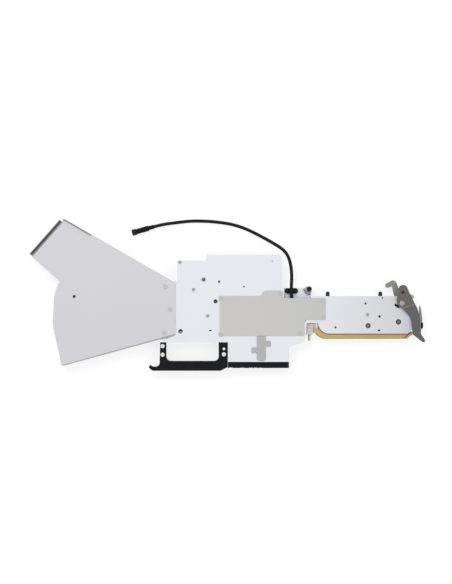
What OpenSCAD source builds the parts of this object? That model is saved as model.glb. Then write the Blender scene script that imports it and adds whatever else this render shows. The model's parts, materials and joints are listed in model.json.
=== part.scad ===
// Tape feeder for an electronics placement machine, lying on its flat side.
//
// Frame: the origin is on the sprocket axis, where it meets the side that rests
// on the table. +X points along the nose to the pick-up end, +Z points up from
// the table, and +Y points to the edge that carries the locating pins. In the
// machine the feeder stands on that +Y edge, so "keel" below means the +Y side
// and "deck" means the -Y side, where the tape runs.

/* [Side plates] */
// Thickness of the body over both side plates
body_t = 24; // [22:0.5:28]
// Thickness of each side plate
plate_t = 3; // [2.5:0.25:3.5]
// Front edge of the nose, from the sprocket axis
nose_front = 20; // [19:0.5:24]
// Bevel at the nose's front corner
nose_chamfer = 6.4; // [4:0.2:8]
// Keel edge of the nose, from the sprocket axis
nose_keel = 38.7; // [36:0.1:42]
// Front edge of the deep part of the body
body_front = 174.5; // [173:0.5:176]
// Keel edge of the deep part of the body
body_keel = 101; // [97:0.5:110]
// Keel edge of the body behind its step
step_keel = 92; // [88:0.5:95]
// Place of the step in the keel edge
step_x = 287; // [280:0.5:300]
// Rear edge of the body
body_rear = 332; // [330:0.5:334]
// Rear edge of the lap that carries the chute
lap_rear = 358; // [356:0.5:359.5]
// Keel edge of that lap
lap_keel = 61; // [58:0.5:62]
// Deck edge of the body over the grip
grip_deck = 30.6; // [28:0.1:33]
// Rear edge of the foot that carries the key rail
foot_rear = 255.8; // [254:0.1:258]
// Front edge of that foot
foot_front = 164.2; // [160:0.1:168]
// Deck edge of that foot
foot_deck = 60; // [57:0.5:64]
// Keel edge of the cable shelf
shelf_keel = 50.8; // [50:0.1:53]
// Front edge of the cable shelf
shelf_front = 131.2; // [130.6:0.1:133]
// Radius of the body's outer corners
corner_r = 3; // [1:0.5:5]
// Diameter of the spacer posts between the plates
post_d = 6; // [5:0.25:6.5]
// Diameter of the screws in the posts
post_screw_d = 2.5; // [2:0.1:3]

/* [Tape path] */
// Width of the carrier tape
tape_w = 8; // [8:4:12]
// Clearance between the tape and its guides, on each side
tape_gap = 0.1; // [0.05:0.05:0.3]
// Thickness of the rail under the tape
rail_t = 1.5; // [1.2:0.1:2]
// Height of the slot that the tape runs in
slot_h = 1.3; // [1.3:0.1:2]
// Thickness of the yellow guide over the tape
guide_t = 2.8; // [2.2:0.1:3.2]
// Thickness of the steel strip over the guide
strip_t = 1; // [0.6:0.1:1.4]
// Radius of the bend that leads the tape into the nose
bend_r = 16.6; // [15.5:0.1:18]
// Place of the centre of that bend
bend_x = 104; // [102:0.5:106]
// Height of the channel that the tape crosses the body in
track_h = 5; // [4.6:0.1:6]
// Thickness of the bars beside that channel
track_bar_t = 2; // [1.5:0.25:3]
// Length of the window that the parts are picked from
pick_len = 12; // [8:0.5:14]

/* [Sprocket and drive] */
// Number of sprocket pins, 4 mm apart on the tape
sprocket_pins = 30; // [30]
// Height of the sprocket's pins over the tape line
pin_rise = 1.1; // [0.8:0.1:1.2]
// Thickness of the sprocket's rim
rim_t = 2; // [1.6:0.1:2.4]
// Radius of the sprocket shaft
sprocket_shaft_r = 2; // [1.6:0.1:2.5]
// Outer diameter of the sprocket's bush
sprocket_bush_d = 8.2; // [7.5:0.1:9]
// Radius of the drive shaft
drive_shaft_r = 1.6; // [1.3:0.1:1.8]
// Outer diameter of the drive shaft's bush
drive_bush_d = 7.8; // [7:0.1:8.5]
// Running clearance between a shaft and its bore
run_gap = 0.04; // [0.02:0.01:0.08]
// Tooth module of the gear train
gear_m = 0.8; // [0.8]
// Thickness of the gears
gear_t = 3; // [2.5:0.1:3.2]
// Diameter of the drive motor
motor_d = 28; // [24:0.5:28.5]
// Length of the drive motor
motor_len = 8; // [6:0.5:8.5]

/* [Release lever] */
// Thickness of the lever plate
lever_t = 2.8; // [2.2:0.1:3.4]
// Space between the body and the lever plate
lever_lift = 1.6; // [1.2:0.1:2]
// Thickness of the clamp hook
hook_t = 5; // [4:0.25:6]
// Radius of the lever's pivot pin
pivot_r = 2.5; // [2:0.1:3]
// Travel of the lever, in degrees
lever_swing = 10; // [6:1:10]
// Wire diameter of the return spring
spring_wire = 1.1; // [0.8:0.1:1.2]
// Turns of the return spring
spring_turns = 3; // [2:1:3]

/* [Locating parts] */
// Diameter of the locating pins
locator_d = 6; // [5:0.1:7]
// Straight length of a locating pin outside its bar
locator_len = 4.6; // [4:0.1:6]
// Place of the front locating pin
locator_front = 26.2; // [25:0.1:28]
// Spacing of the two locating pins
locator_pitch = 79.3; // [78:0.1:80.5]
// Diameter of the guide roller
roller_d = 7.5; // [6.5:0.1:8.5]
// Radius of the notch round the roller
notch_r = 8.8; // [8.2:0.1:9.4]

/* [Chute] */
// Thickness of the chute's sheet metal
sheet_t = 1.2; // [1:0.1:1.5]
// Angle of the chute's keel edge
chute_slope = 30; // [29:0.5:31]
// Length of the chute's keel edge
chute_len = 189.6; // [185:0.2:194]
// Angle of the chute's deck edge
chute_fall = 15.5; // [14.5:0.5:16]
// Length of the chute's deck edge
chute_run = 146; // [142:0.5:150]
// Width of the chute's mouth
mouth_w = 68.4; // [64:0.2:70]
// Angle of the mouth line
mouth_angle = 48.6; // [47:0.1:50]
// Depth of the lip beyond the mouth
lip_w = 6.4; // [4:0.2:8]
// Diameter of the rolled edge of the lip
lip_roll_d = 3.2; // [2.4:0.2:4]

/* [Grip and key rail] */
// Depth of the grip, from the body's edge
grip_h = 42.8; // [41:0.1:46]
// Thickness of the grip moulding
grip_t = 19; // [17:0.5:20]
// Height of the finger opening
finger_h = 28.6; // [27:0.1:30]
// Length of the finger opening
finger_len = 79; // [76:0.5:82]
// Width of the grip's rear post
grip_post = 8.7; // [7.5:0.1:10]
// Radius of the finger opening's corners
finger_r = 7; // [4:0.5:9]
// Height of the key rail
rail_h = 9.3; // [8.6:0.1:11]
// Width of a key
key_w = 3.4; // [2.6:0.1:3.8]
// Travel of a key
key_travel = 0.6; // [0.3:0.1:0.8]

/* [Electronics and cable] */
// Thickness of the electronics cover
cover_t = 1.2; // [1:0.1:1.6]
// Diameter of the small screw heads
head_d = 5.6; // [5:0.1:6]
// Thickness of the circuit board
board_t = 1.6; // [1:0.2:2]
// Diameter of the cable
cable_d = 5; // [4:0.1:5.4]
// Length of the cable clamp
clamp_len = 19.8; // [18.5:0.1:22]
// Width of the cable clamp
clamp_w = 8.4; // [7.4:0.1:9]
// Diameter of the plug's barrel
plug_d = 8; // [7.4:0.1:9]
// Diameter of the plug's coupling ring
collar_d = 9.6; // [9.4:0.1:11]
// Length of the plug
plug_len = 34; // [32:0.5:38]

/* [Hidden] */
$fn = 48;

front_z = body_t - plate_t;      // inner face of the front plate
mid_z = body_t / 2;              // middle of the tape
tape_lo = mid_z - tape_w / 2;
tape_hi = mid_z + tape_w / 2;
hole_z = tape_hi - 1.75;         // the row of holes in the tape
eps = 0.01;

pitch_r = sprocket_pins * 4 / (2 * PI);
deck_y = -(pitch_r - rail_t);    // deck edge of the nose
slot_y = -pitch_r;               // face that the tape runs on
guide_y = slot_y - slot_h;       // underside of the guide over the tape
strip_y = guide_y - guide_t;
bend = [-bend_x, deck_y + bend_r];

pivot = [4.8, 28];               // lever pivot
rivet = [6.2, 44.3];             // rivet that joins lever and hook
rivet_r = 2.4;
stud_at = [20.8, 37.4];          // stud at the hook's front
lug_r = 8;
neck_x = 137.5;                  // front edge of the body beside the bend
roller_at = [-133.4, 49.5];
notch_start = 270 + asin((-shelf_front - roller_at.x) / notch_r);
notch_end = 180 - asin((shelf_keel - roller_at.y) / notch_r);
liner_t = 0.7;

shelf_z = front_z - 4;           // top of the cable shelf
recess_x = [-171.7, -shelf_front];
recess_y = 36;                   // deck edge of the cable recess
window = [[-259, -13], [-150, 31]];

// gear train: sprocket, idler, drive, reduction, motor
teeth = [40, 34, 21, 18, 30, 14];
function pitch_radius(i) = gear_m * teeth[i] / 2;
function centres(i, j) = pitch_radius(i) + pitch_radius(j);
drive_at = [-45.6, -5.6];
train_d = norm(drive_at);
train_a = (pow(centres(0, 1), 2) - pow(centres(1, 2), 2) + train_d * train_d) / (2 * train_d);
train_h = sqrt(pow(centres(0, 1), 2) - train_a * train_a);
idler_at = (drive_at * train_a + [drive_at.y, -drive_at.x] * train_h) / train_d;
reduction_at = drive_at + centres(2, 3) * [cos(156), sin(156)];
motor_at = reduction_at + centres(4, 5) * [cos(168), sin(168)];
gear_z = hole_z + rim_t / 2 + 1;             // the train's plane, over the sprocket's rim
second_z = gear_z - gear_t - 0.4;            // the motor's plane
idler_pin_r = 1.9;
reduction_pin_r = 1.5;
motor_shaft_r = 1.2;

function heading(a, b) = atan2(b.y - a.y, b.x - a.x);
// Turns the next gear so that its gap faces a tooth of the gear before it
function in_mesh(turn, n, next_n, way) = way + 180 + 180 / next_n - (turn - way) * n / next_n;
idler_turn = in_mesh(0, teeth[0], teeth[1], heading([0, 0], idler_at));
drive_turn = in_mesh(idler_turn, teeth[1], teeth[2], heading(idler_at, drive_at));
reduction_turn = in_mesh(drive_turn, teeth[2], teeth[3], heading(drive_at, reduction_at));
motor_turn = in_mesh(reduction_turn, teeth[4], teeth[5], heading(reduction_at, motor_at));

// lever stack
lever_z = body_t + lever_lift;
hook_z = mid_z - hook_t / 2;
spring_r = 5;
leg_r = 9.5;                     // radius of the slot that takes the spring's leg
leg_angle = 28;
spring_z = hook_z + hook_t + spring_wire;
coil_start = leg_angle + 90;
coil_end = pivot + spring_r * [cos(coil_start), sin(coil_start)];
fixed_leg_way = [cos(coil_start + 90), sin(coil_start + 90)];
spring_post_r = 1.5;
spring_post_at = coil_end + fixed_leg_way * 11
    + [-fixed_leg_way.y, fixed_leg_way.x] * (spring_post_r + spring_wire / 2 + 0.3);

// locating pins and their bar
bar_deck = 30;
locator_xs = [-locator_front, -locator_front - locator_pitch];
locator_hold = nose_keel - bar_deck - 1;
shank_r = locator_d / 2 - 0.4;       // part of a locating pin that sits in the bar

// body edges beside the bend, from the foot to the neck
neck_line = [[-foot_front, -37.6], [-157, -35.2], [-140.8, -29.8], [-139, -22.6]];

// posts between the plates; the first four have screws in the front plate
foot_post_y = -foot_deck + 10;
posts = [[-328, 89.4], [-307.4, 48.3], [-286.2, 9], [-46.4, 10.7],
         [-205, 92], [-182, foot_post_y], [-246, foot_post_y], [-214, 62], [-98, 20]];
front_posts = 4;

// holes in the front plate: place and diameter
access_holes = [[-292.4, 63.4, 5.6], [-269.1, 60.3, 3.9], [-231.8, 52.8, 2.7], [-189.2, 90.9, 2.3],
                [-274.5, 30.9, 6.2], [-327, -14.2, 6.8], [-49.5, 27.6, 3.2], [-94.4, -8.1, 3]];
set_screw_at = [-24, 35.8];
screw_seat_r = 2.6;               // recess of a post screw's head
face_hole_at = [-486.4, 38.1];   // hole in the chute's face

// electronics cover
cover_screws = [[-265.8, 35.1], [-177.6, 42.2], [-266.2, -18.6], [-147.4, -17], [-113.8, 31], [-112.7, 7.4]];
cover_z = body_t;
board_box = [[-256, -6], [-176, 30]];
board_z = shelf_z;
board_corners = [[-252, -2], [-180, -2], [-252, 26], [-180, 26]];
key_cable_x = -205.8;
key_cable_w = 5;

// cable
clamp_at = [-160.5, 46.5];
clamp_screw_x = 6.7;
cable_z = shelf_z + cable_d / 2;
gland_y = [26.5, 33.5];
plug_turn = 196;                 // way that the plug points
plug_root = [-368, 143.5];
plug_z = collar_d / 2;
collar_len = 7;

// key rail
rail_deck = foot_deck + rail_h;
rail_cap_t = 2.5;
key_xs = [-234, -221.5, -213.8, -206.8];
key_notch = key_travel + 1;

// grip: the hook at its rear corner
grip_rear = lap_rear - 0.5;
curl = [-grip_rear - 8.8, -grip_deck - 28.7];
curl_r = 8.7;
grip_low = -grip_deck - grip_h;
grip_screws = [[-grip_rear + 3.5, -grip_deck - 5.8, 3.1], [-grip_rear + 3.5, -grip_deck - 18.7, 3.1],
               [-foot_rear - 6.1, -grip_deck - 18.1, 3.1], [-foot_rear - 6.1, -grip_deck - 10, 2.1]];

// chute corners
chute_front_x = -body_rear - 2.5;
keel_root = [-337.8, 60];
keel_way = [-cos(chute_slope), sin(chute_slope)];
keel_tip = keel_root + keel_way * chute_len;
deck_root = [-360.8, -27];
deck_way = [-cos(chute_fall), -sin(chute_fall)];
deck_tip = deck_root + deck_way * chute_run;
mouth_way = [cos(mouth_angle), sin(mouth_angle)];
mouth_out = [-sin(mouth_angle), cos(mouth_angle)];
mouth_hi = keel_tip + [-2.4, -6];
mouth_lo = mouth_hi - mouth_way * mouth_w;
elbow = mouth_lo - mouth_out * 55.4;
chute_z = plate_t;               // the chute's back sheet lies inside the back plate
chute_screws = [[-349.6, 53.1], [-342.3, 18.9], [-351.3, -16.5]];

// ---- shared shapes -------------------------------------------------------

// Points of an arc from one angle to another
function arc(c, r, from, to, steps) =
    [for (i = [0:steps]) c + r * [cos(from + (to - from) * i / steps), sin(from + (to - from) * i / steps)]];

function unit(v) = v / norm(v);
function left_of(v) = [-v.y, v.x];
// Where two lines cross, each given by a point and a way
function cross_at(p, u, q, v) = p + u * ((q - p).x * v.y - (q - p).y * v.x) / (u.x * v.y - u.y * v.x);
// An outline drawn counter-clockwise, moved inwards by d
function inset(p, d) = [for (i = [0:len(p) - 1])
    let (a = p[(i + len(p) - 1) % len(p)], b = p[i], c = p[(i + 1) % len(p)],
         u = unit(b - a), v = unit(c - b))
    abs(u.x * v.y - u.y * v.x) < 0.001 ? b + left_of(v) * d
        : cross_at(b + left_of(u) * d, u, b + left_of(v) * d, v)];

module slab(z0, z1) {
    translate([0, 0, z0]) linear_extrude(z1 - z0) children();
}

module rod(at, r, z0, z1) {
    translate([at.x, at.y, z0]) cylinder(r = r, h = z1 - z0);
}

module block(low, high) {
    translate(low) cube(high - low);
}

// A screw with a low head and a hex socket, head up, its seat at z0
module low_screw(at, d, reach, z0, wide, high) {
    translate([at.x, at.y, z0]) difference() {
        union() {
            cylinder(d = wide, h = high);
            translate([0, 0, -reach]) cylinder(d = d, h = reach);
        }
        translate([0, 0, high * 0.45]) cylinder(d = wide * 0.42, h = high, $fn = 6);
    }
}

// ---- side plates ---------------------------------------------------------

function plate_outline() = concat(
    [[nose_front - nose_chamfer, deck_y], [nose_front, deck_y + nose_chamfer], [nose_front, 4]],
    arc(pivot, lug_r, 5, 60, 5),
    [[pivot.x + 2, nose_keel], [-shelf_front, nose_keel]],
    arc(roller_at, notch_r, notch_start, notch_end, 12),
    [[-body_front, shelf_keel]],
    arc([-body_front - corner_r, body_keel - corner_r], corner_r, 0, 90, 4),
    [[-step_x, body_keel], [-step_x - 2.5, step_keel]],
    arc([-body_rear + corner_r, step_keel - corner_r], corner_r, 90, 180, 4),
    [[-body_rear, lap_keel], [-lap_rear, lap_keel], [-lap_rear, -grip_deck],
     [-foot_rear, -grip_deck], [-foot_rear, -foot_deck], [-foot_front, -foot_deck]],
    neck_line,
    [[-neck_x, bend.y]],
    arc(bend, bend_r, 180, 270, 9));

module plate_bores() {
    for (i = [0:front_posts - 1]) rod(posts[i], post_screw_d / 2 + 0.1, front_z - 1, body_t + 1);
    for (p = concat(posts, chute_screws)) {
        rod(p, post_screw_d / 2 + 0.1, -1, plate_t + 1);
        rod(p, screw_seat_r, -1, 1.2);
    }
    rod(idler_at, idler_pin_r + 0.01, plate_t - 2.2, body_t + eps);
    rod(reduction_at, reduction_pin_r + 0.01, plate_t - 2.2, front_z + 2);
    rod(pivot, pivot_r + 0.01, plate_t - 2.2, body_t + eps);
    rod(spring_post_at, spring_post_r + 0.01, plate_t - 2.2, plate_t + eps);
}

module back_plate() {
    color([0.83, 0.84, 0.86]) difference() {
        union() {
            slab(0, plate_t) polygon(plate_outline());
            slab(0, plate_t) polygon([[-shelf_front, nose_keel], roller_at + [4.2, -1], roller_at + [-1, 4.2],
                                      roller_at + [-notch_r, 1], [-shelf_front - 14, nose_keel]]);
            rod(roller_at, 4.4, 0, plate_t);
            // tabs that carry the grip
            block([-grip_rear, -grip_deck - 24, 0], [-grip_rear + grip_post - 1, -grip_deck + 1, plate_t]);
            block([-foot_rear - 13, -grip_deck - 24, 0], [-foot_rear - 0.2, -grip_deck + 1, plate_t]);
        }
        plate_bores();
        rod([0, 0], sprocket_shaft_r + run_gap, plate_t - 2, plate_t + eps);
        rod(drive_at, drive_shaft_r + run_gap, plate_t - 2, plate_t + eps);
        rod(roller_at, 1.31, 0.8, plate_t + eps);
        for (s = grip_screws) rod(s, 1.3, -eps, plate_t + eps);
    }
}

module front_plate() {
    color([0.90, 0.90, 0.92]) difference() {
        slab(front_z, body_t) polygon(plate_outline());
        plate_bores();
        // cable recess, the slot that leads the cable under the cover, and the window under the cover
        block([recess_x[0], recess_y, front_z - 1], [recess_x[1], shelf_keel + 1, body_t + 1]);
        block([clamp_at.x - 3.9, window[1].y - 1, front_z - 1], [clamp_at.x + 3.9, recess_y + 1, body_t + 1]);
        block([window[0].x, window[0].y, front_z - 1], [window[1].x, window[1].y, body_t + 1]);
        // groove for the key cable, with a slit that leads it down to the rail
        block([key_cable_x - key_cable_w / 2, -foot_deck + 1.5, body_t - 1.2],
              [key_cable_x + key_cable_w / 2, window[0].y + 1, body_t + 1]);
        block([key_cable_x - key_cable_w / 2, -foot_deck + 1.5, front_z - 1],
              [key_cable_x + key_cable_w / 2, -foot_deck + 2.7, body_t + 1]);
        for (h = access_holes) rod(h, h.z / 2, front_z - 1, body_t + 1);
        // countersink of the largest access hole
        translate([access_holes[0].x, access_holes[0].y, body_t - 1.5])
            cylinder(d1 = access_holes[0].z, d2 = 8.7, h = 1.5 + eps);
        for (i = [0:front_posts - 1]) rod(posts[i], screw_seat_r, body_t - 1, body_t + eps);
        rod([0, 0], sprocket_bush_d / 2, front_z - 1, body_t + 1);
        rod(drive_at, drive_bush_d / 2, front_z - 1, body_t + 1);
        rod(set_screw_at, 1.2, front_z - 1, body_t + 1);
        // adjusting slots
        slab(front_z - 1, body_t + 1) slot_shape([-282.3, -12.9], 3.8, 2.2);
        slab(front_z - 1, body_t + 1) slot_shape([-29.1, -12.6], 4.5, 2.4);
        for (s = concat(cover_screws, chute_screws)) rod(s, 1.3, front_z - 1, body_t + 1);
    }
}

module slot_shape(at, length, width) {
    translate(at) {
        for (side = [-1, 1]) translate([side * (length - width) / 2, 0]) circle(d = width);
        square([length - width, width], center = true);
    }
}

// Round posts between the plates, and shorter ones that also clamp the chute's back sheet
module spacer_posts() {
    color([0.7, 0.7, 0.72]) for (i = [0:len(posts) + len(chute_screws) - 1])
        let (short = i >= len(posts), p = short ? chute_screws[i - len(posts)] : posts[i],
             foot = short ? chute_z + sheet_t : plate_t)
        difference() {
            rod(p, post_d / 2, foot, front_z);
            rod(p, post_screw_d / 2 + 0.1, foot - 1, foot + 6);
            rod(p, post_screw_d / 2 + 0.1, front_z - 6, front_z + 1);
        }
}

module post_screws() {
    color([0.6, 0.6, 0.62]) {
        for (i = [0:front_posts - 1]) low_screw(posts[i], post_screw_d, 6, body_t - 1, 4.8, 0.9);
        for (p = concat(posts, chute_screws))
            translate([p.x, p.y, 1.2]) mirror([0, 0, 1]) low_screw([0, 0], post_screw_d, 5.5, 0, 4.8, 0.9);
    }
}

// ---- electronics under the cover -----------------------------------------

module cover_outline() {
    polygon([[-neck_x - 3.6, -20.8], [-neck_x - 3.6, 3.2], [-109.5, 3.2], [-109.5, 35.6], [-173.6, 35.6],
             [-173.6, 46.6], [-201.3, 46.6], [-206.2, 38.7], [-268, 38.7], [-268, -20.8]]);
}

module electronics_cover() {
    color([0.78, 0.78, 0.79]) difference() {
        union() {
            slab(cover_z, cover_z + cover_t) cover_outline();
            for (s = cover_screws) rod(s, 3.75, cover_z, cover_z + cover_t);
        }
        for (s = cover_screws) rod(s, 1.5, cover_z - 1, cover_z + cover_t + 1);
    }
}

module cover_screws() {
    color([0.7, 0.7, 0.71]) for (s = cover_screws) low_screw(s, 2.5, 3.8, cover_z + cover_t, head_d, 0.8);
}

module key_cable_cover() {
    color([0.73, 0.73, 0.74]) slab(cover_z, cover_z + 0.9) {
        translate([-212.6, -55]) square([13.6, 33.9]);
        for (x = [-209.6, -202]) translate([x, -55]) circle(r = 3);
        translate([-209.6, -58]) square([7.6, 4]);
        translate([-200, -37]) square([8.6, 8.4]);
        translate([-220.6, -46.8]) square([9, 8.4]);
    }
}

module key_cable() {
    color([0.75, 0.73, 0.6]) {
        half = key_cable_w / 2 - 0.5;
        block([key_cable_x - half, -foot_deck + 1.8, body_t - 1.2], [key_cable_x + half, -2, body_t - 0.8]);
        block([key_cable_x - half, -foot_deck + 1.8, front_z - 0.1],
              [key_cable_x + half, -foot_deck + 2.2, body_t - 1]);
        block([key_cable_x - half, -2.4, board_z + board_t + 1.2], [key_cable_x + half, -2, body_t - 1]);
    }
}

module circuit_board() {
    color([0.1, 0.35, 0.2]) difference() {
        block([board_box[0].x, board_box[0].y, board_z], [board_box[1].x, board_box[1].y, board_z + board_t]);
        for (c = board_corners) rod(c, 1.35, board_z - 1, board_z + board_t + 1);
    }
}

module board_chips() {
    top = board_z + board_t;
    color([0.15, 0.15, 0.16]) {
        block([-238, 6, top], [-224, 20, top + 1.4]);
        block([-219, 10, top], [-213, 15, top + 1.6]);
        block([-247, 8, top], [-243, 18, top + 2]);
        block([key_cable_x - 4.5, -4.5, top], [key_cable_x + 4.5, -1, top + 1.2]);
        block([-186, 4, top], [-180, 20, top + 2.2]);
        for (i = [0:5]) block([-208 + i * 3.4, 22, top], [-206.4 + i * 3.4, 23, top + 0.6]);
    }
}

module board_standoffs() {
    color([0.75, 0.65, 0.35]) for (c = board_corners) {
        rod(c, 2.6, plate_t, board_z);
        rod(c, 1.3, board_z, board_z + board_t);
        rod(c, 2.2, board_z + board_t, board_z + board_t + 0.8);
    }
}

// ---- cable ---------------------------------------------------------------

module cable_shelf() {
    color([0.82, 0.82, 0.84]) difference() {
        slab(plate_t, shelf_z) polygon(concat(
            [[-shelf_front, 26], [-shelf_front, nose_keel]],
            arc(roller_at, notch_r, notch_start, notch_end, 12),
            [[recess_x[0], shelf_keel], [recess_x[0], 26]]));
        for (side = [-1, 1]) rod(clamp_at + [side * clamp_screw_x, 0], 1.3, shelf_z - 7, shelf_z + 1);
    }
}

// Strap with round ends and a raised middle that holds the cable down
module cable_clamp() {
    color([0.08, 0.08, 0.09]) difference() {
        union() {
            slab(shelf_z, shelf_z + 2.6) slot_shape(clamp_at, clamp_len, clamp_w);
            translate([clamp_at.x, clamp_at.y - clamp_w / 2, cable_z])
                rotate([-90, 0, 0]) cylinder(r = cable_d / 2 + 2, h = clamp_w);
        }
        translate([clamp_at.x, clamp_at.y - clamp_w, cable_z])
            rotate([-90, 0, 0]) cylinder(r = cable_d / 2 + 0.15, h = 2 * clamp_w);
        block([clamp_at.x - cable_d / 2 - 0.15, clamp_at.y - clamp_w, shelf_z - 5],
              [clamp_at.x + cable_d / 2 + 0.15, clamp_at.y + clamp_w, cable_z]);
        block([clamp_at.x - clamp_len, clamp_at.y - clamp_w, shelf_z - 5],
              [clamp_at.x + clamp_len, clamp_at.y + clamp_w, shelf_z]);
        for (side = [-1, 1]) rod(clamp_at + [side * clamp_screw_x, 0], 1.4, shelf_z - 1, shelf_z + 4);
    }
}

module clamp_screws() {
    color([0.12, 0.12, 0.13]) for (side = [-1, 1])
        low_screw(clamp_at + [side * clamp_screw_x, 0], 2.5, 6, shelf_z + 2.6, 3.8, 1);
}

module cable_gland() {
    color([0.07, 0.07, 0.08])
        block([clamp_at.x - 3.6, gland_y[0], shelf_z],
              [clamp_at.x + 3.6, gland_y[1], shelf_z + cable_d + 0.2]);
}

// The cable's middle line, from the gland over the shelf's edge, down to the table and along it
cable_route = [
    [clamp_at.x, gland_y[1], cable_z], [clamp_at.x, 40, cable_z], [clamp_at.x, 46.5, cable_z],
    [clamp_at.x, 54, cable_z - 0.3], [-160, 63, cable_z - 2.2], [-160, 73, cable_z - 5.5],
    [-161, 84, cable_z - 9.5], [-163.5, 95, cable_z - 13.2], [-168.5, 104.5, 4.2], [-176, 111.5, 3],
    [-187, 118.5, 2.6], [-201, 126.5, 2.6], [-216.5, 134.5, 2.6], [-232, 141.5, 2.6], [-250, 147, 2.6],
    [-268, 150, 2.6], [-288, 151.8, 2.6], [-312, 152, 2.6], [-335, 149.6, 2.7], [-353, 147, 3.8],
    [plug_root.x, plug_root.y, plug_z]];

// Smooth curve through the route's points
function curve_at(p, i, t) =
    let (a = p[max(i - 1, 0)], b = p[i], c = p[i + 1], d = p[min(i + 2, len(p) - 1)])
    0.5 * (2 * b + (c - a) * t + (2 * a - 5 * b + 4 * c - d) * t * t + (3 * b - a - 3 * c + d) * t * t * t);
cable_line = [for (i = [0:len(cable_route) - 2]) each
                  [for (t = [0, 1 / 3, 2 / 3]) curve_at(cable_route, i, t)],
              cable_route[len(cable_route) - 1]];

function along(p, i, first, last) =
    i == 0 ? first : i == len(p) - 1 ? last : unit(p[i + 1] - p[i - 1]);
// Round tube along a line of points, with its end faces square to the ways given
module tube(p, r, sides, first, last) {
    ring = [for (i = [0:len(p) - 1])
        let (w = along(p, i, first, last), u = unit(cross(w, [0.02, 0.01, 1])), v = cross(w, u))
        each [for (k = [0:sides - 1])
            p[i] + r * (cos(360 * k / sides) * u + sin(360 * k / sides) * v)]];
    last_ring = (len(p) - 1) * sides;
    polyhedron(ring, concat(
        [[for (k = [0:sides - 1]) k]],
        [[for (k = [0:sides - 1]) last_ring + sides - 1 - k]],
        [for (i = [0:len(p) - 2], k = [0:sides - 1])
            let (next = (k + 1) % sides)
            [i * sides + k, (i + 1) * sides + k, (i + 1) * sides + next, i * sides + next]]));
}

module cable() {
    color([0.08, 0.08, 0.09])
        tube(cable_line, cable_d / 2, 10, [0, 1, 0], [cos(plug_turn), sin(plug_turn), 0]);
}

module on_plug() {
    translate([plug_root.x, plug_root.y, plug_z]) rotate([0, 0, plug_turn]) rotate([0, 90, 0]) children();
}

module plug_body() {
    barrel = plug_len - collar_len;
    color([0.09, 0.09, 0.1]) on_plug() rotate_extrude() polygon([
        [0, 0], [cable_d / 2 + 0.3, 0], [plug_d / 2 - 0.7, 4], [plug_d / 2, 6], [plug_d / 2, barrel - 8],
        [plug_d / 2 - 0.5, barrel - 7.5], [plug_d / 2 - 0.5, barrel - 1], [plug_d / 2 - 1, barrel],
        [plug_d / 2 - 1, barrel + 2], [0, barrel + 2]]);
}

module plug_collar() {
    barrel = plug_len - collar_len;
    color([0.1, 0.1, 0.11]) on_plug() rotate_extrude() polygon([
        [plug_d / 2 - 1 + 0.02, barrel], [collar_d / 2 - 0.4, barrel], [collar_d / 2, barrel + 0.5],
        [collar_d / 2, plug_len - 0.6], [collar_d / 2 - 0.5, plug_len], [plug_d / 2 - 0.8, plug_len],
        [plug_d / 2 - 0.8, barrel + 2], [plug_d / 2 - 1 + 0.02, barrel + 2]]);
}

// ---- chute ---------------------------------------------------------------

function chute_outline() = concat(
    [keel_tip, mouth_hi, mouth_lo, elbow],
    [[-514, 48], [-516.4, 37.4], [-518.5, -2.4], [-517.4, -10.4], [-507.4, -54]],
    arc(deck_tip + [-1, 4.6], 4.2, 190, 285, 4),
    [deck_root, [-354.6, -25], [-347.4, -24.6], [chute_front_x - 1, -19.8], [chute_front_x, -17.4],
     [chute_front_x, 60], keel_root]);

module chute_tray() {
    p = chute_outline();
    walls = inset(p, sheet_t);
    color([0.74, 0.74, 0.76]) difference() {
        union() {
            slab(chute_z, chute_z + sheet_t) polygon(p);
            slab(chute_z, body_t) difference() {
                polygon(p);
                polygon(walls);
                // the mouth stays open, and so does the end inside the body
                polygon([mouth_hi + mouth_way * 0.5 + mouth_out * 3, mouth_lo + mouth_out * 3,
                         mouth_lo + mouth_way * sheet_t - mouth_out * 3, mouth_hi - mouth_out * 3]);
                translate([-lap_rear - 2, -40]) square([40, 140]);
            }
            // lip beyond the mouth, with a rolled edge
            slab(chute_z, chute_z + sheet_t) polygon([mouth_hi - mouth_out, mouth_hi + mouth_out * lip_w,
                mouth_lo + mouth_out * lip_w, mouth_lo - mouth_out]);
            translate([mouth_lo.x, mouth_lo.y, chute_z + lip_roll_d / 2]) rotate([0, 0, mouth_angle])
                translate([0, lip_w, 0]) rotate([0, 90, 0]) cylinder(d = lip_roll_d, h = mouth_w);
        }
        for (s = chute_screws) rod(s, 1.5, chute_z - 1, chute_z + sheet_t + 1);
    }
}

module chute_face() {
    color([0.79, 0.79, 0.81]) difference() {
        slab(body_t, body_t + sheet_t) polygon(chute_outline());
        for (s = chute_screws) rod(s, 1.5, body_t - 1, body_t + sheet_t + 1);
        rod(face_hole_at, 2.2, body_t - 1, body_t + sheet_t + 1);
    }
}

module chute_screws() {
    color([0.76, 0.76, 0.78]) for (s = chute_screws)
        low_screw(s, post_screw_d, 8, body_t + sheet_t, 6.8, 0.7);
}

// ---- grip and key rail ---------------------------------------------------

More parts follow.
